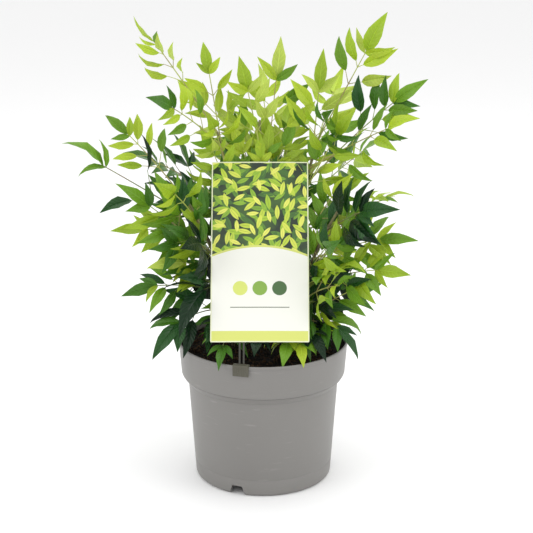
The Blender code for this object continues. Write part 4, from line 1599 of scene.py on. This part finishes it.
SHOOTS = (
    Spray("shoot_mid_left", "middle", 0.62, 118, 0.078, 0.398, -90, 0.0, 0.25, 0.06, 2, 0.036, 0.05, L, 2, 1),
    Spray("shoot_mid_right", "middle", 0.66, 62, 0.08, 0.402, -85, 0.0, 0.25, 0.06, 2, 0.036, 0.05, L, 2, 1),
    Spray("shoot_mid_low", "middle", 0.46, 92, 0.072, 0.372, -90, 0.0, 0.25, 0.06, 2, 0.038, 0.05, F, 2),
    Spray("shoot_back", "back", 0.78, 90, 0.092, 0.408, -90, 0.0, 0.25, 0.06, 2, 0.036, 0.05, L, 2, 1),
    Spray("shoot_nw", "northwest", 0.66, 152, 0.08, 0.402, -95, 0.0, 0.25, 0.06, 2, 0.036, 0.05, L, 1, 1),
    Spray("shoot_nw_low", "northwest", 0.5, 128, 0.074, 0.372, -90, 0.0, 0.25, 0.06, 2, 0.038, 0.05, F, 2, 1),
    Spray("shoot_ne", "northeast", 0.68, 30, 0.086, 0.396, -85, 0.0, 0.25, 0.06, 2, 0.036, 0.05, L, 1, 1),
    Spray("shoot_ne_low", "northeast", 0.52, 52, 0.078, 0.37, -90, 0.0, 0.25, 0.06, 2, 0.038, 0.05, F, 2, 1),
    Spray("shoot_back_left", "back", 0.34, 112, 0.12, 0.262, 90, 0.0, 0.25, 0.14, 3, 0.04, 0.15, D, 3),
    Spray("shoot_back_right", "back", 0.44, 68, 0.118, 0.282, 90, 0.0, 0.25, 0.14, 3, 0.04, 0.15, D, 3),
    Spray("shoot_e", "northeast", 0.5, 14, 0.122, 0.35, -80, 0.0, 0.25, 0.08, 2, 0.04, 0.05, L, 2, 1),
    Spray("shoot_e_low", "east", 0.74, 6, 0.138, 0.318, -75, 0.0, 0.25, 0.1, 2, 0.04, 0.08, F, 2),
    Spray("shoot_front_right", "east", 0.52, -18, 0.118, 0.306, -80, 0.0, 0.2, 0.1, 2, 0.042, 0.1, F, 2),
    Spray("shoot_front_right_low", "east", 0.38, -25, 0.105, 0.262, -80, 0, 0.2, 0.12, 2, 0.042, 0.12, F, 2, 1),
    Spray("shoot_front_left", "west", 0.55, -158, 0.118, 0.312, -100, 0.0, 0.2, 0.1, 2, 0.044, 0.1, F, 2),
    Spray("shoot_front_left_low", "west", 0.36, -150, 0.108, 0.256, -100, 0, 0.2, 0.12, 2, 0.042, 0.12, F, 0, 1),
    Spray("shoot_ne_front", "northeast", 0.72, -8, 0.1, 0.428, -80, 0.0, 0.2, 0.08, 2, 0.04, 0.04, L, 0, 1),
    Spray("shoot_rim_left", "middle", 0.06, -96, 0.098, 0.176, -90, 0.0, 0.45, 0.2, 1, 0.034, 0.3, D, 0),
    Spray("shoot_rim_right", "east", 0.12, -79, 0.101, 0.163, -90, 0.0, 0.45, 0.26, 1, 0.038, 0.35, L, 0, 1),
    Spray("shoot_rim_far_left", "west", 0.2, -128, 0.104, 0.188, -100, 0.0, 0.45, 0.2, 1, 0.038, 0.3, D, 1),
    Spray("shoot_rim_far_right", "east", 0.16, -52, 0.118, 0.168, -80, 0.0, 0.45, 0.26, 1, 0.042, 0.35, D, 1),
    Spray("shoot_w", "west", 0.7, 172, 0.128, 0.35, -100, 0.0, 0.25, 0.08, 2, 0.04, 0.05, F, 0, 1),
    Spray("shoot_back_mid_left", "back", 0.56, 122, 0.15, 0.336, 110, 0.0, 0.25, 0.12, 3, 0.04, 0.1, F, 2),
    Spray("shoot_back_mid_right", "back", 0.6, 62, 0.148, 0.342, 75, 0.0, 0.25, 0.12, 3, 0.04, 0.1, F, 2),
    Spray("shoot_back_high", "back", 0.88, 74, 0.13, 0.418, 85, 0.0, 0.25, 0.08, 3, 0.038, 0.05, L, 2),
    Spray("shoot_back_high_left", "back", 0.84, 116, 0.132, 0.41, 95, 0.0, 0.25, 0.08, 3, 0.038, 0.05, L, 1),
    Spray("shoot_back_low", "back", 0.22, 86, 0.128, 0.226, 90, 0.0, 0.25, 0.14, 3, 0.04, 0.15, D, 2),
)


@dataclass
class LeafRule:
    """The seeded rule of a compound leaf, with the sizes that the solids follow."""

    stem_radius: float = 0.0009
    stem_tip_radius: float = 0.0005
    stem_parts: int = 14
    stem_spacing: float = 1.3
    stem_sides: int = 7
    base_radius: float = 0.0017
    base_length: float = 0.006
    twig_radius: float = 0.00055
    twig_tip_radius: float = 0.00035
    twig_parts: int = 4
    twig_sides: int = 5
    twig_arch: float = 0.03
    twig_share: float = 0.38
    twig_shrink: float = 1.1
    twig_lengths: tuple = (0.85, 1.12)
    twig_angle_deg: float = 46.0
    twig_turn_deg: float = 8.0
    twig_lifts: tuple = (-0.15, 0.30)
    twig_droop: float = 0.5
    long_twig: float = 0.90
    short_twig: float = 0.35
    forking_twig: float = 1.15
    leaf_sink: float = 0.0010
    twig_sink: float = 0.0002
    leaf_angle_deg: float = 46.0
    end_leaf: float = 1.05
    end_pair_sizes: tuple = (0.58, 0.75)
    twig_tip_sizes: tuple = (0.75, 0.95)
    twig_pair_sizes: tuple = (0.55, 0.72)
    twig_pair_places: tuple = (0.55, 0.8)
    face_out: float = 0.85
    face_up: float = 0.55
    end_face_jitter: float = 0.20
    face_jitter: float = 0.30
    pair_face_jitter: float = 0.35
    end_pair_jitter: float = 0.10
    end_pair_back: float = 0.0030
    pair_jitter: float = 0.12
    fine_sizes: tuple = (0.58, 0.84)
    added_pair_back: float = 0.45
    added_pair_place: float = 0.9
    small_places: tuple = (0.28, 0.42)
    small_lengths: tuple = (0.28, 0.40)
    small_tip_sizes: tuple = (0.62, 0.84)
    small_jitter: float = 0.15
    small_droop: float = 0.5
    probes: int = 10
    # Leaflets nearer the cane than this share of their spray's reach, or below the height after it, step one
    # shade darker by the chance between: painted shade deep in the crown, partly also the darker colour of older
    # leaves.
    inside: float = 0.62
    painted_shade_chance: float = 0.85
    painted_shade_below: float = 0.25
    fine_seed: int = 9000
    leaflets: list[Leaflet] = field(default_factory=list)
    stalks: dict[Tone, list[Shape]] = field(default_factory=lambda: {tone: [] for tone in Tone})

    def jittered(self, direction: Vector, chance: Random, amount: float) -> Vector:
        """Return a direction turned a little by seeded draws."""
        nudge = Vector([chance.uniform(-amount, amount) for _ in range(3)])
        return (direction + nudge).normalized()

    def forked(self, along: Vector, side: Vector, hand: float, droop: float) -> Vector:
        """Return the direction of one leaflet of a pair, which hangs a little."""
        turn = math.radians(self.leaf_angle_deg)
        return along * math.cos(turn) + side * hand * math.sin(turn) - UP * droop

    def flat_side(self, along: Vector, out: Vector) -> tuple[Vector, Vector]:
        """Return the sideways and upper directions of the flat leaf at its stem."""
        side = along.cross(out * self.face_out + UP * self.face_up).normalized()
        return side, side.cross(along).normalized()

    def leaf(self, spray: Spray, base: Vector, along: Vector, face: Vector, length: float,
             fine: Random, extra: bool = False) -> None:
        """Note one leaflet, with a shade from its spray's tone and a form of its own.

        Args:
            spray: Its spray.
            base, along, face: Where it starts, its direction and its upper side.
            length: Its length.
            fine: The draws of the finer foliage.
            extra: Whether it is one that the solids lack.
        """
        if extra and not spray.fill:
            return
        face = Matrix.Rotation(math.radians(spray.roll_deg), 3, along) @ face
        # Painted shade: inner and low leaflets come one shade darker, partly also for older leaves.
        deep = base.xy.length < self.inside * spray.reach or base.z < self.painted_shade_below
        darker = spray.darker + (1 if deep and fine.random() < self.painted_shade_chance else 0)
        shade = spray.tone.shade(fine.random(), darker)
        self.leaflets.append(Leaflet(base, along, face, length, shade, fine.random(), extra))

    def grow(self, spray: Spray, cane: Cane, seed: int, blocked: BVHTree) -> bool:
        """Grow one spray: its stem, its side twigs and all their leaflets.

        Args:
            spray: The spray to grow.
            cane: The cane that it leaves.
            seed: The seed of its draws.
            blocked: The surfaces that its stem may not cross.

        Returns:
            Whether there was room for its stem.
        """
        chance, fine = Random(seed), Random(self.fine_seed + seed)
        start = cane.point(spray.start)
        end = polar(spray.reach, spray.azimuth, spray.height)
        length = (end - start).length
        middle = (start + end) / 2 + UP * spray.bow * length
        line = [bent(start, middle, end, k / self.probes) for k in range(1, self.probes + 1)]
        for here, there in zip(line, line[1:]):
            if blocked.ray_cast(here, (there - here).normalized(), (there - here).length)[0]:
                return False

        def tangent(share: float) -> Vector:
            """Return the stem's direction at a share of its route."""
            return ((middle - start) * (1.0 - share) + (end - middle) * share).normalized()

        tip_share = 1.0 - self.end_leaf * spray.leaf / length
        out = polar(1.0, spray.face)
        first = spray.bough if spray.bough else cane.radius_at(spray.start) / length
        leafy = first + (tip_share - first) * spray.bare
        for k in range(spray.nodes):
            share = leafy + (tip_share - leafy) * k / spray.nodes
            along = tangent(share)
            side, face = self.flat_side(along, out)
            shorter = 1.0 - self.twig_shrink * k / spray.nodes
            reach = self.twig_share * (tip_share - leafy) * length * shorter
            for hand in (-1.0, 1.0):
                here = bent(start, middle, end, share)
                self.side_twig(spray, here, along, side * hand, face, reach, chance, fine)
        along = tangent(tip_share)
        side, face = self.flat_side(along, out)
        tip = bent(start, middle, end, tip_share)
        base = tip - along * self.leaf_sink
        end_face = self.jittered(face, chance, self.end_face_jitter)
        self.leaf(spray, base, tangent(1.0), end_face, spray.leaf, fine)
        for hand in (-1.0, 1.0):
            size = spray.leaf * chance.uniform(*self.end_pair_sizes)
            aim = self.jittered(self.forked(along, side, hand, spray.droop), chance, self.end_pair_jitter)
            back = base - along * self.end_pair_back
            self.leaf(spray, back, aim, self.jittered(face, chance, self.face_jitter), size, fine)
        between = tip_share - (tip_share - leafy) / spray.nodes * self.added_pair_back
        along = tangent(between)
        side, face = self.flat_side(along, out)
        for hand in (-1.0, 1.0) if spray.fill > 1 else ():
            size = spray.leaf * fine.uniform(*self.fine_sizes)
            aim = self.jittered(self.forked(along, side, hand, spray.droop), fine, self.pair_jitter)
            place = bent(start, middle, end, between)
            self.leaf(spray, place, aim, self.jittered(face, fine, self.face_jitter), size, fine, True)
        self.stem(spray, start, middle, end, tip_share, length)
        return True

    def stem(self, spray: Spray, start: Vector, middle: Vector, end: Vector, tip_share: float,
             length: float) -> None:
        """Note the stem's stalk, which thickens where it clasps its cane.

        Args:
            spray: Its spray.
            start, middle, end: The handles of its curve.
            tip_share: The share of the curve at which it ends.
            length: How far its start is from its end.
        """
        points, radii = [], []
        for k in range(self.stem_parts + 1):
            share = tip_share * (k / self.stem_parts) ** self.stem_spacing
            clasp = math.exp(-share * length / self.base_length)
            points.append(bent(start, middle, end, share))
            slim = self.stem_radius + (self.stem_tip_radius - self.stem_radius) * share / tip_share
            radii.append(slim + (self.base_radius - slim) * clasp)
        self.stalks[spray.tone].append(limb(points, radii, self.stem_sides))

    def twig(self, spray: Spray, start: Vector, end: Vector) -> None:
        """Note a side twig's stalk, arched a little.

        Args:
            spray: Its spray.
            start, end: Its ends.
        """
        middle = (start + end) / 2 + UP * self.twig_arch * (end - start).length
        slim = self.twig_tip_radius - self.twig_radius
        parts = self.twig_parts
        points = [bent(start, middle, end, k / parts) for k in range(parts + 1)]
        radii = [self.twig_radius + slim * k / parts for k in range(parts + 1)]
        self.stalks[spray.tone].append(limb(points, radii, self.twig_sides))

    def side_twig(self, spray: Spray, start: Vector, along: Vector, side: Vector, face: Vector,
                  length: float, chance: Random, fine: Random) -> None:
        """Grow one side twig: its tip leaflet, its pairs and, on a long one, smaller twigs.

        Args:
            spray: Its spray.
            start: Where it leaves the stem.
            along, side, face: The stem's direction, the twig's side and the upper side.
            length: Its length, before its own draw.
            chance: The draws that the solids make too.
            fine: The draws of the finer foliage.
        """
        turn = math.radians(self.twig_angle_deg + chance.uniform(-self.twig_turn_deg, self.twig_turn_deg))
        aim = along * math.cos(turn) + side * math.sin(turn) + face * chance.uniform(*self.twig_lifts)
        aim = (aim.normalized() - UP * self.twig_droop * spray.droop).normalized()
        length = length * chance.uniform(*self.twig_lengths)
        end = start + aim * length
        across = aim.cross(face).normalized()
        size = spray.leaf * chance.uniform(*self.twig_tip_sizes)
        tip_aim = (aim - UP * spray.droop).normalized()
        self.twig(spray, start, end)
        tip_face = self.jittered(face, chance, self.face_jitter)
        self.leaf(spray, end - aim * self.leaf_sink, tip_aim, tip_face, size, fine)
        place = start + aim * length * chance.uniform(*self.twig_pair_places)
        is_long = length > self.long_twig * spray.leaf
        for hand in (-1.0, 1.0):
            size = spray.leaf * chance.uniform(*self.twig_pair_sizes)
            pair_face = self.jittered(face, chance, self.pair_face_jitter)
            pair_aim = self.jittered(self.forked(aim, across, hand, spray.droop), chance, self.pair_jitter)
            if is_long:
                self.leaf(spray, place + pair_aim * self.twig_sink, pair_aim, pair_face, size, fine)
        for hand in (-1.0, 1.0):
            size = spray.leaf * fine.uniform(*self.fine_sizes)
            pair_aim = self.jittered(self.forked(aim, across, hand, spray.droop), fine, self.pair_jitter)
            if not is_long and length > self.short_twig * spray.leaf:
                pair_face = self.jittered(face, fine, self.face_jitter)
                place = start + aim * length * self.added_pair_place
                self.leaf(spray, place, pair_aim, pair_face, size, fine, True)
        if length > self.forking_twig * spray.leaf:
            self.small_twigs(spray, start, aim, across, face, length, fine)

    def small_twigs(self, spray: Spray, start: Vector, aim: Vector, across: Vector, face: Vector,
                    length: float, fine: Random) -> None:
        """Grow a pair of twigs of the next order, each with three leaflets.

        Args:
            spray: Their spray.
            start: Where their side twig starts.
            aim, across, face: Its direction, its side and its upper side.
            length: Its length.
            fine: The draws of the finer foliage.
        """
        place = start + aim * length * fine.uniform(*self.small_places)
        for hand in (-1.0, 1.0):
            fork = self.forked(aim, across, hand, spray.droop * self.small_droop)
            small_aim = self.jittered(fork, fine, self.pair_jitter)
            end = place + small_aim * length * fine.uniform(*self.small_lengths)
            self.twig(spray, place, end)
            size = spray.leaf * fine.uniform(*self.small_tip_sizes)
            self.leaf(spray, end, small_aim, self.jittered(face, fine, self.face_jitter), size, fine, True)
            small_across = small_aim.cross(face).normalized()
            for other in (-1.0, 1.0):
                size = spray.leaf * fine.uniform(*self.fine_sizes)
                fork = self.forked(small_aim, small_across, other, spray.droop)
                leaf_aim = self.jittered(fork, fine, self.small_jitter)
                self.leaf(spray, end, leaf_aim, self.jittered(face, fine, self.face_jitter), size, fine, True)


@dataclass
class LeafPattern:
    """One leaflet modelled flat, then bent, folded and placed for every leaflet."""

    columns: int = 4
    rows: tuple = (0.0, 0.075, 0.2, 0.35, 0.525, 0.7, 0.875, 1.0)
    thick: float = 0.00028
    rise: float = 0.80
    taper: float = 1.05
    tail: float = 0.36
    slimness: tuple = (0.29, 0.41)
    folds: tuple = (0.30, 0.62)
    cup: float = 0.22
    bends: tuple = (0.3, 1.45)
    bend_steps: int = 40
    bend_power: float = 1.6
    twists: tuple = (-0.5, 0.5)
    twist_from: float = 0.3
    wave: float = 0.10
    wave_count: float = 17.0
    wave_phase: float = 40.0
    keys: tuple = (1.0, 7.3, 13.1, 23.9)
    scatter: float = 97.0

    def model(self) -> None:
        """Model the pattern: a gridded sheet, doubled, with its margin and ends merged."""
        Bench.clear()
        steps = len(self.rows) - 1
        bpy.ops.mesh.primitive_grid_add(x_subdivisions=self.columns, y_subdivisions=steps, size=2.0)
        sheet = bpy.context.object
        for vert in sheet.data.vertices:
            u, v = vert.co.x, self.rows[round((vert.co.y + 1.0) / 2.0 * steps)]
            if v < 0.001 or v > 0.999:
                u = 0.0
            vert.co = (u, v, (1.0 - u * u) * math.sqrt(max(0.0, v * (1.0 - v))))
        Bench.edit(sheet)
        bpy.ops.mesh.remove_doubles(threshold=1e-5)
        bpy.ops.mesh.duplicate()
        bpy.ops.transform.resize(value=(1.0, 1.0, -1.0), center_override=(0.0, 0.0, 0.0))
        bpy.ops.mesh.flip_normals()
        bpy.ops.mesh.select_all(action="SELECT")
        bpy.ops.mesh.remove_doubles(threshold=1e-5)
        bpy.ops.mesh.normals_make_consistent(inside=False)
        Bench.close()
        self.points = np.array([tuple(vert.co) for vert in sheet.data.vertices])
        self.faces = [tuple(face.vertices) for face in sheet.data.polygons]
        self.corners = np.array([i for face in self.faces for i in face])
        self.sizes = np.array([len(face) for face in self.faces])
        bpy.data.objects.remove(sheet, do_unlink=True)

    def outline(self, v: np.ndarray) -> np.ndarray:
        """Draw the leaflet's outline, whose tip is drawn out.

        Args:
            v: Shares of the length.

        Returns:
            The half width there, as a share of the widest.
        """
        peak = self.rise / (self.rise + self.taper)
        top = peak**self.rise * (1 - peak) ** self.taper
        late = np.clip((v - 0.5) / 0.5, 0.0, 1.0)
        return v**self.rise * (1 - v) ** self.taper / top * (1 - self.tail * late * (2 - late))

    def curve(self, bend: np.ndarray, v: np.ndarray) -> tuple[np.ndarray, np.ndarray, np.ndarray]:
        """Bend leaflets of length 1 downwards, with both of their ends on a level.

        Args:
            bend: How far each leaflet turns from base to tip, in radians.
            v: The shares of the length that are wanted.

        Returns:
            The run, the lift and the slope there, as arrays of leaflets by shares.
        """
        parts = self.bend_steps
        steps = np.linspace(0.0, 1.0, parts + 1)
        angle = -bend[:, None] * ((steps[:-1] + steps[1:]) / 2) ** self.bend_power
        start = np.zeros((len(bend), 1))
        y = np.concatenate((start, np.cumsum(np.cos(angle) / parts, axis=1)), axis=1)
        z = np.concatenate((start, np.cumsum(np.sin(angle) / parts, axis=1)), axis=1)
        chord = np.hypot(y[:, -1], z[:, -1])[:, None]
        tilt = np.arctan2(z[:, -1], y[:, -1])[:, None]
        index = np.rint(v * parts).astype(int)
        y, z = y[:, index] / chord, z[:, index] / chord
        run = y * np.cos(-tilt) - z * np.sin(-tilt)
        lift = y * np.sin(-tilt) + z * np.cos(-tilt)
        return run, lift, -bend[:, None] * v[None, :] ** self.bend_power - tilt

    def place(self, leaflets: Sequence[Leaflet]) -> np.ndarray:
        """Bend, fold and place the pattern for every leaflet.

        Args:
            leaflets: The leaflets.

        Returns:
            Their vertices, as an array of leaflets by points by three.
        """
        base = np.array([tuple(leaf.base) for leaf in leaflets])
        along = np.array([tuple(leaf.along) for leaf in leaflets])
        face = np.array([tuple(leaf.face) for leaf in leaflets])
        length = np.array([leaf.length for leaf in leaflets])
        form = np.array([leaf.form for leaf in leaflets])
        across = np.cross(along, face)
        across /= np.linalg.norm(across, axis=1, keepdims=True)
        over = np.cross(across, along)
        limits = (self.slimness, self.folds, self.bends, self.twists)
        slim, fold, bend, twist = (self.spread(form, *pair) for pair in zip(self.keys, limits))
        u, v, side = self.points.T
        run, lift, slope = self.curve(bend, v)
        half = self.outline(v)[None, :] * (slim * length / 2)[:, None]
        turn = twist[:, None] * (v[None, :] - self.twist_from)
        phase = v[None, :] * self.wave_count + form[:, None] * self.wave_phase
        wave = self.wave * np.sin(phase) * np.abs(u) ** 2
        raised = half * (fold[:, None] * np.abs(u) - self.cup * u**2 + wave) + self.thick * side
        sideways = u * half
        flat = sideways * np.cos(turn) - raised * np.sin(turn)
        up = sideways * np.sin(turn) + raised * np.cos(turn)
        run = run * length[:, None] - np.sin(slope) * up
        lift = lift * length[:, None] + np.cos(slope) * up
        spots = run[..., None] * along[:, None] + lift[..., None] * over[:, None]
        return base[:, None] + (spots + flat[..., None] * across[:, None])

    def spread(self, form: np.ndarray, key: float, limits: Sequence[float]) -> np.ndarray:
        """Return values between two limits that each leaflet's form decides."""
        share = np.modf(form * self.scatter * key + key)[0]
        return limits[0] + (limits[1] - limits[0]) * share


@dataclass
class Crown:
    """All the foliage: what the rule grows, less what has no room, joined by kind."""

    rule: LeafRule = field(default_factory=LeafRule)
    pattern: LeafPattern = field(default_factory=LeafPattern)
    spacing: float = 0.0120
    crease_deg: float = 26.0
    back_from: float = 0.035
    overhang: float = 0.002
    mark_step: int = 5
    most_hiding: int = 1
    tint_low: float = 0.88
    tint_range: float = 0.22
    tint_scatter: float = 311.0
    stalk_crease_deg: float = 60.0

    def surface(self, names: Sequence[str]) -> BVHTree:
        """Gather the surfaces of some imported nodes.

        Args:
            names: The nodes.

        Returns:
            Their search tree.
        """
        verts, faces = [], []
        for name in names:
            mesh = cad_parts[name].data
            faces += [tuple(len(verts) + i for i in face.vertices) for face in mesh.polygons]
            verts += [vert.co.copy() for vert in mesh.vertices]
        return BVHTree.FromPolygons(verts, faces)

    def grow(self) -> None:
        """Grow every spray and its fellows."""
        canes = {cane.name: cane for cane in CANES}
        blocked = self.surface(HARD_NODES)
        for seed, spray in enumerate(SPRAYS + SHOOTS):
            for turn, grown in enumerate((spray, *spray.fellows(seed))):
                self.rule.grow(grown, canes[spray.cane], seed + turn * FELLOWS.seed, blocked)

    def has_room(self, leaf: Leaflet, points: np.ndarray, taken: dict) -> bool:
        """Tell whether an added leaflet keeps its distance to those before it.

        Args:
            leaf: The leaflet.
            points: Its vertices.
            taken: The middles of those before it, by cell, which this one joins.

        Returns:
            Whether it has room, as one of the solids' own always has.
        """
        middle = points.mean(axis=0)
        cell = tuple(int(c // self.spacing) for c in middle)
        if leaf.extra:
            for step in product((-1, 0, 1), repeat=3):
                near = taken.get(tuple(c + d for c, d in zip(cell, step)), ())
                if any(np.linalg.norm(middle - other) < self.spacing for other in near):
                    return False
        taken.setdefault(cell, []).append(middle)
        return True

    def keep(self) -> tuple[list[Leaflet], np.ndarray]:
        """Choose the leaflets that touch neither pot, soil nor label, stay in reach and don't hide the card.

        Returns:
            The leaflets and their vertices.
        """
        card = self.surface(["label_card"])
        hard = self.surface(HARD_NODES)
        low, high = (np.array(corner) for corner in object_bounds())
        low, high = low - self.overhang, high + self.overhang
        places = self.pattern.place(self.rule.leaflets)
        kept, taken = [], {}
        for index, (leaf, points) in enumerate(zip(self.rule.leaflets, places)):
            if (points.min(axis=0) < low).any() or (points.max(axis=0) > high).any():
                continue
            marks = [Vector(point) for point in points[:: self.mark_step]]
            hiding = sum(card.ray_cast(mark, (mark - EYE).normalized())[0] is not None for mark in marks)
            if hiding > self.most_hiding or not self.has_room(leaf, points, taken):
                continue
            shape = BVHTree.FromPolygons([Vector(p) for p in points], self.pattern.faces)
            if not shape.overlap(hard):
                kept.append(index)
        return [self.rule.leaflets[k] for k in kept], places[kept]

    def leaf_piece(self, name: str, leaflets: Sequence[Leaflet], places: np.ndarray) -> Piece:
        """Join leaflets into one piece, with a UV map, a tint and a shade for each.

        Args:
            name: The piece's name.
            leaflets: The leaflets.
            places: Their vertices.

        Returns:
            The piece.
        """
        pattern = self.pattern
        count, points = len(leaflets), len(pattern.points)
        sizes = np.tile(pattern.sizes, count)
        loops = (pattern.corners[None, :] + points * np.arange(count)[:, None]).ravel()
        piece = mesh_object(name, places.reshape(-1, 3), sizes, loops)
        mesh = piece.data
        mesh.set_sharp_from_angle(angle=math.radians(self.crease_deg))
        uv = mesh.uv_layers.new(name="blade")
        flat = np.stack(((pattern.points[:, 0] + 1) / 2, pattern.points[:, 1]), axis=1)[pattern.corners]
        uv.data.foreach_set("uv", np.tile(flat.astype(np.float32), (count, 1)).ravel())
        draws = [math.modf(leaf.form * self.tint_scatter)[0] for leaf in leaflets]
        tints = np.array([self.tint_low + self.tint_range * draw for draw in draws])
        tint = mesh.attributes.new("leaf_tint", "FLOAT", "POINT")
        tint.data.foreach_set("value", np.repeat(tints, points).astype(np.float32))
        shades = sorted({leaf.shade for leaf in leaflets}, key=list(Shade).index)
        Bench.dress(piece, *[self.finish(shade) for shade in shades])
        chosen = np.array([shades.index(leaf.shade) for leaf in leaflets])
        mesh.polygons.foreach_set("material_index", np.repeat(chosen, len(pattern.faces)).astype(np.int32))
        return piece

    def finish(self, shade: Shade) -> Material:
        """Return the material of a shade, made once."""
        known = bpy.data.materials.get(shade.value.name)
        return known if known else shade.value.material()

    def build_leaves(self) -> None:
        """Keep what has room and join it by slot, the front apart from the back."""
        leaflets, places = self.keep()
        log.info("%d of %d leaflets kept", len(leaflets), len(self.rule.leaflets))
        for tone in Tone:
            slot = "leaf_" + tone.name.lower()
            nodes = ["spray_" + spray.name for spray in SPRAYS if spray.tone is tone]
            for part in ("front", "back"):
                chosen = [
                    k
                    for k, leaf in enumerate(leaflets)
                    if leaf.shade.value.slot == slot and (leaf.base.y > self.back_from) == (part == "back")
                ]
                piece = self.leaf_piece(slot + "s_" + part, [leaflets[k] for k in chosen], places[chosen])
                hand_over(piece, nodes)

    def build_stalks(self) -> None:
        """Join the stalks by tone and dress them."""
        finishes = {
            Tone.LIME: Stalk("stalk_lime", linear(168, 178, 84), linear(150, 140, 84)),
            Tone.FRESH: Stalk("stalk_fresh", linear(138, 156, 72), linear(136, 122, 76)),
            Tone.DARK: Stalk("stalk_dark", linear(108, 126, 66), linear(118, 96, 66)),
        }
        for tone, stalk in finishes.items():
            piece = joined_shapes("stalks_" + tone.name.lower(), self.rule.stalks[tone])
            piece.data.set_sharp_from_angle(angle=math.radians(self.stalk_crease_deg))
            Bench.dress(piece, stalk.material())
            nodes = ["bough_" + spray.name for spray in SPRAYS if spray.bough and spray.tone is tone]
            hand_over(piece, nodes)

    def build(self) -> None:
        """Model the leaflet, grow the crown and make its pieces."""
        self.pattern.model()
        self.grow()
        self.build_leaves()
        self.build_stalks()


@dataclass
class Studio:
    """A pale floor, soft lights at both sides and the camera of the picture."""

    lens: float = 97.15
    sensor: float = 36.0
    pitch_deg: float = 16.80
    world_strength: float = 0.95
    floor_size: float = 12.0
    lit_height: float = 0.25
    softboxes: tuple = (
        ("left_softbox", (-1.5, -0.9, 1.3), 1.1, 8.0),
        ("right_softbox", (1.6, -0.7, 1.2), 1.1, 9.5),
        ("front_softbox", (0.0, -2.2, 1.7), 1.6, 2.0),
        ("top_softbox", (0.1, 0.5, 1.9), 1.5, 10.0),
    )

    def softbox(self, name: str, place: Sequence[float], size: float, power: float) -> None:
        """Add one square soft light that faces the crown.

        Args:
            name: Its name.
            place: Where it hangs.
            size: Its side.
            power: Its power.
        """
        Bench.clear()
        bpy.ops.object.light_add(type="AREA", location=place)
        lamp = bpy.context.object
        lamp.name = name
        lamp.data.shape = "SQUARE"
        lamp.data.size = size
        lamp.data.energy = power
        aim = UP * self.lit_height - Vector(place)
        lamp.rotation_euler = aim.to_track_quat("-Z", "Y").to_euler()

    def build(self) -> None:
        """Lay the floor, hang the lights and set the camera."""
        Bench.clear()
        bpy.ops.mesh.primitive_plane_add(size=self.floor_size)
        floor = bpy.context.object
        floor.name = "studio_floor"
        Bench.dress(floor, PaleFloor().material())
        floor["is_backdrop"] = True
        for softbox in self.softboxes:
            self.softbox(*softbox)
        world = bpy.data.worlds.new("studio_air")
        world.use_nodes = True
        sky = world.node_tree.nodes["Background"]
        sky.inputs["Color"].default_value = (1.0, 1.0, 1.0, 1.0)
        sky.inputs["Strength"].default_value = self.world_strength
        bpy.context.scene.world = world
        bpy.context.scene.view_settings.view_transform = "Standard"
        Bench.clear()
        bpy.ops.object.camera_add(location=EYE, rotation=(math.radians(90.0 - self.pitch_deg), 0.0, 0.0))
        camera = bpy.context.object
        camera.name = "picture_camera"
        camera.data.sensor_width = self.sensor
        camera.data.lens = self.lens
        bpy.context.scene.camera = camera


def main() -> None:
    """Build every sub-assembly in order, from the pot up, and set the studio."""
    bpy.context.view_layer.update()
    pot = Pot()
    pot.build()
    Soil(pot).build()
    Label(pot).build()
    Crown().build()
    for cane in CANES:
        cane.build([spray.start for spray in SPRAYS if spray.cane == cane.name])
    Studio().build()


if __name__ == "__main__":
    main()
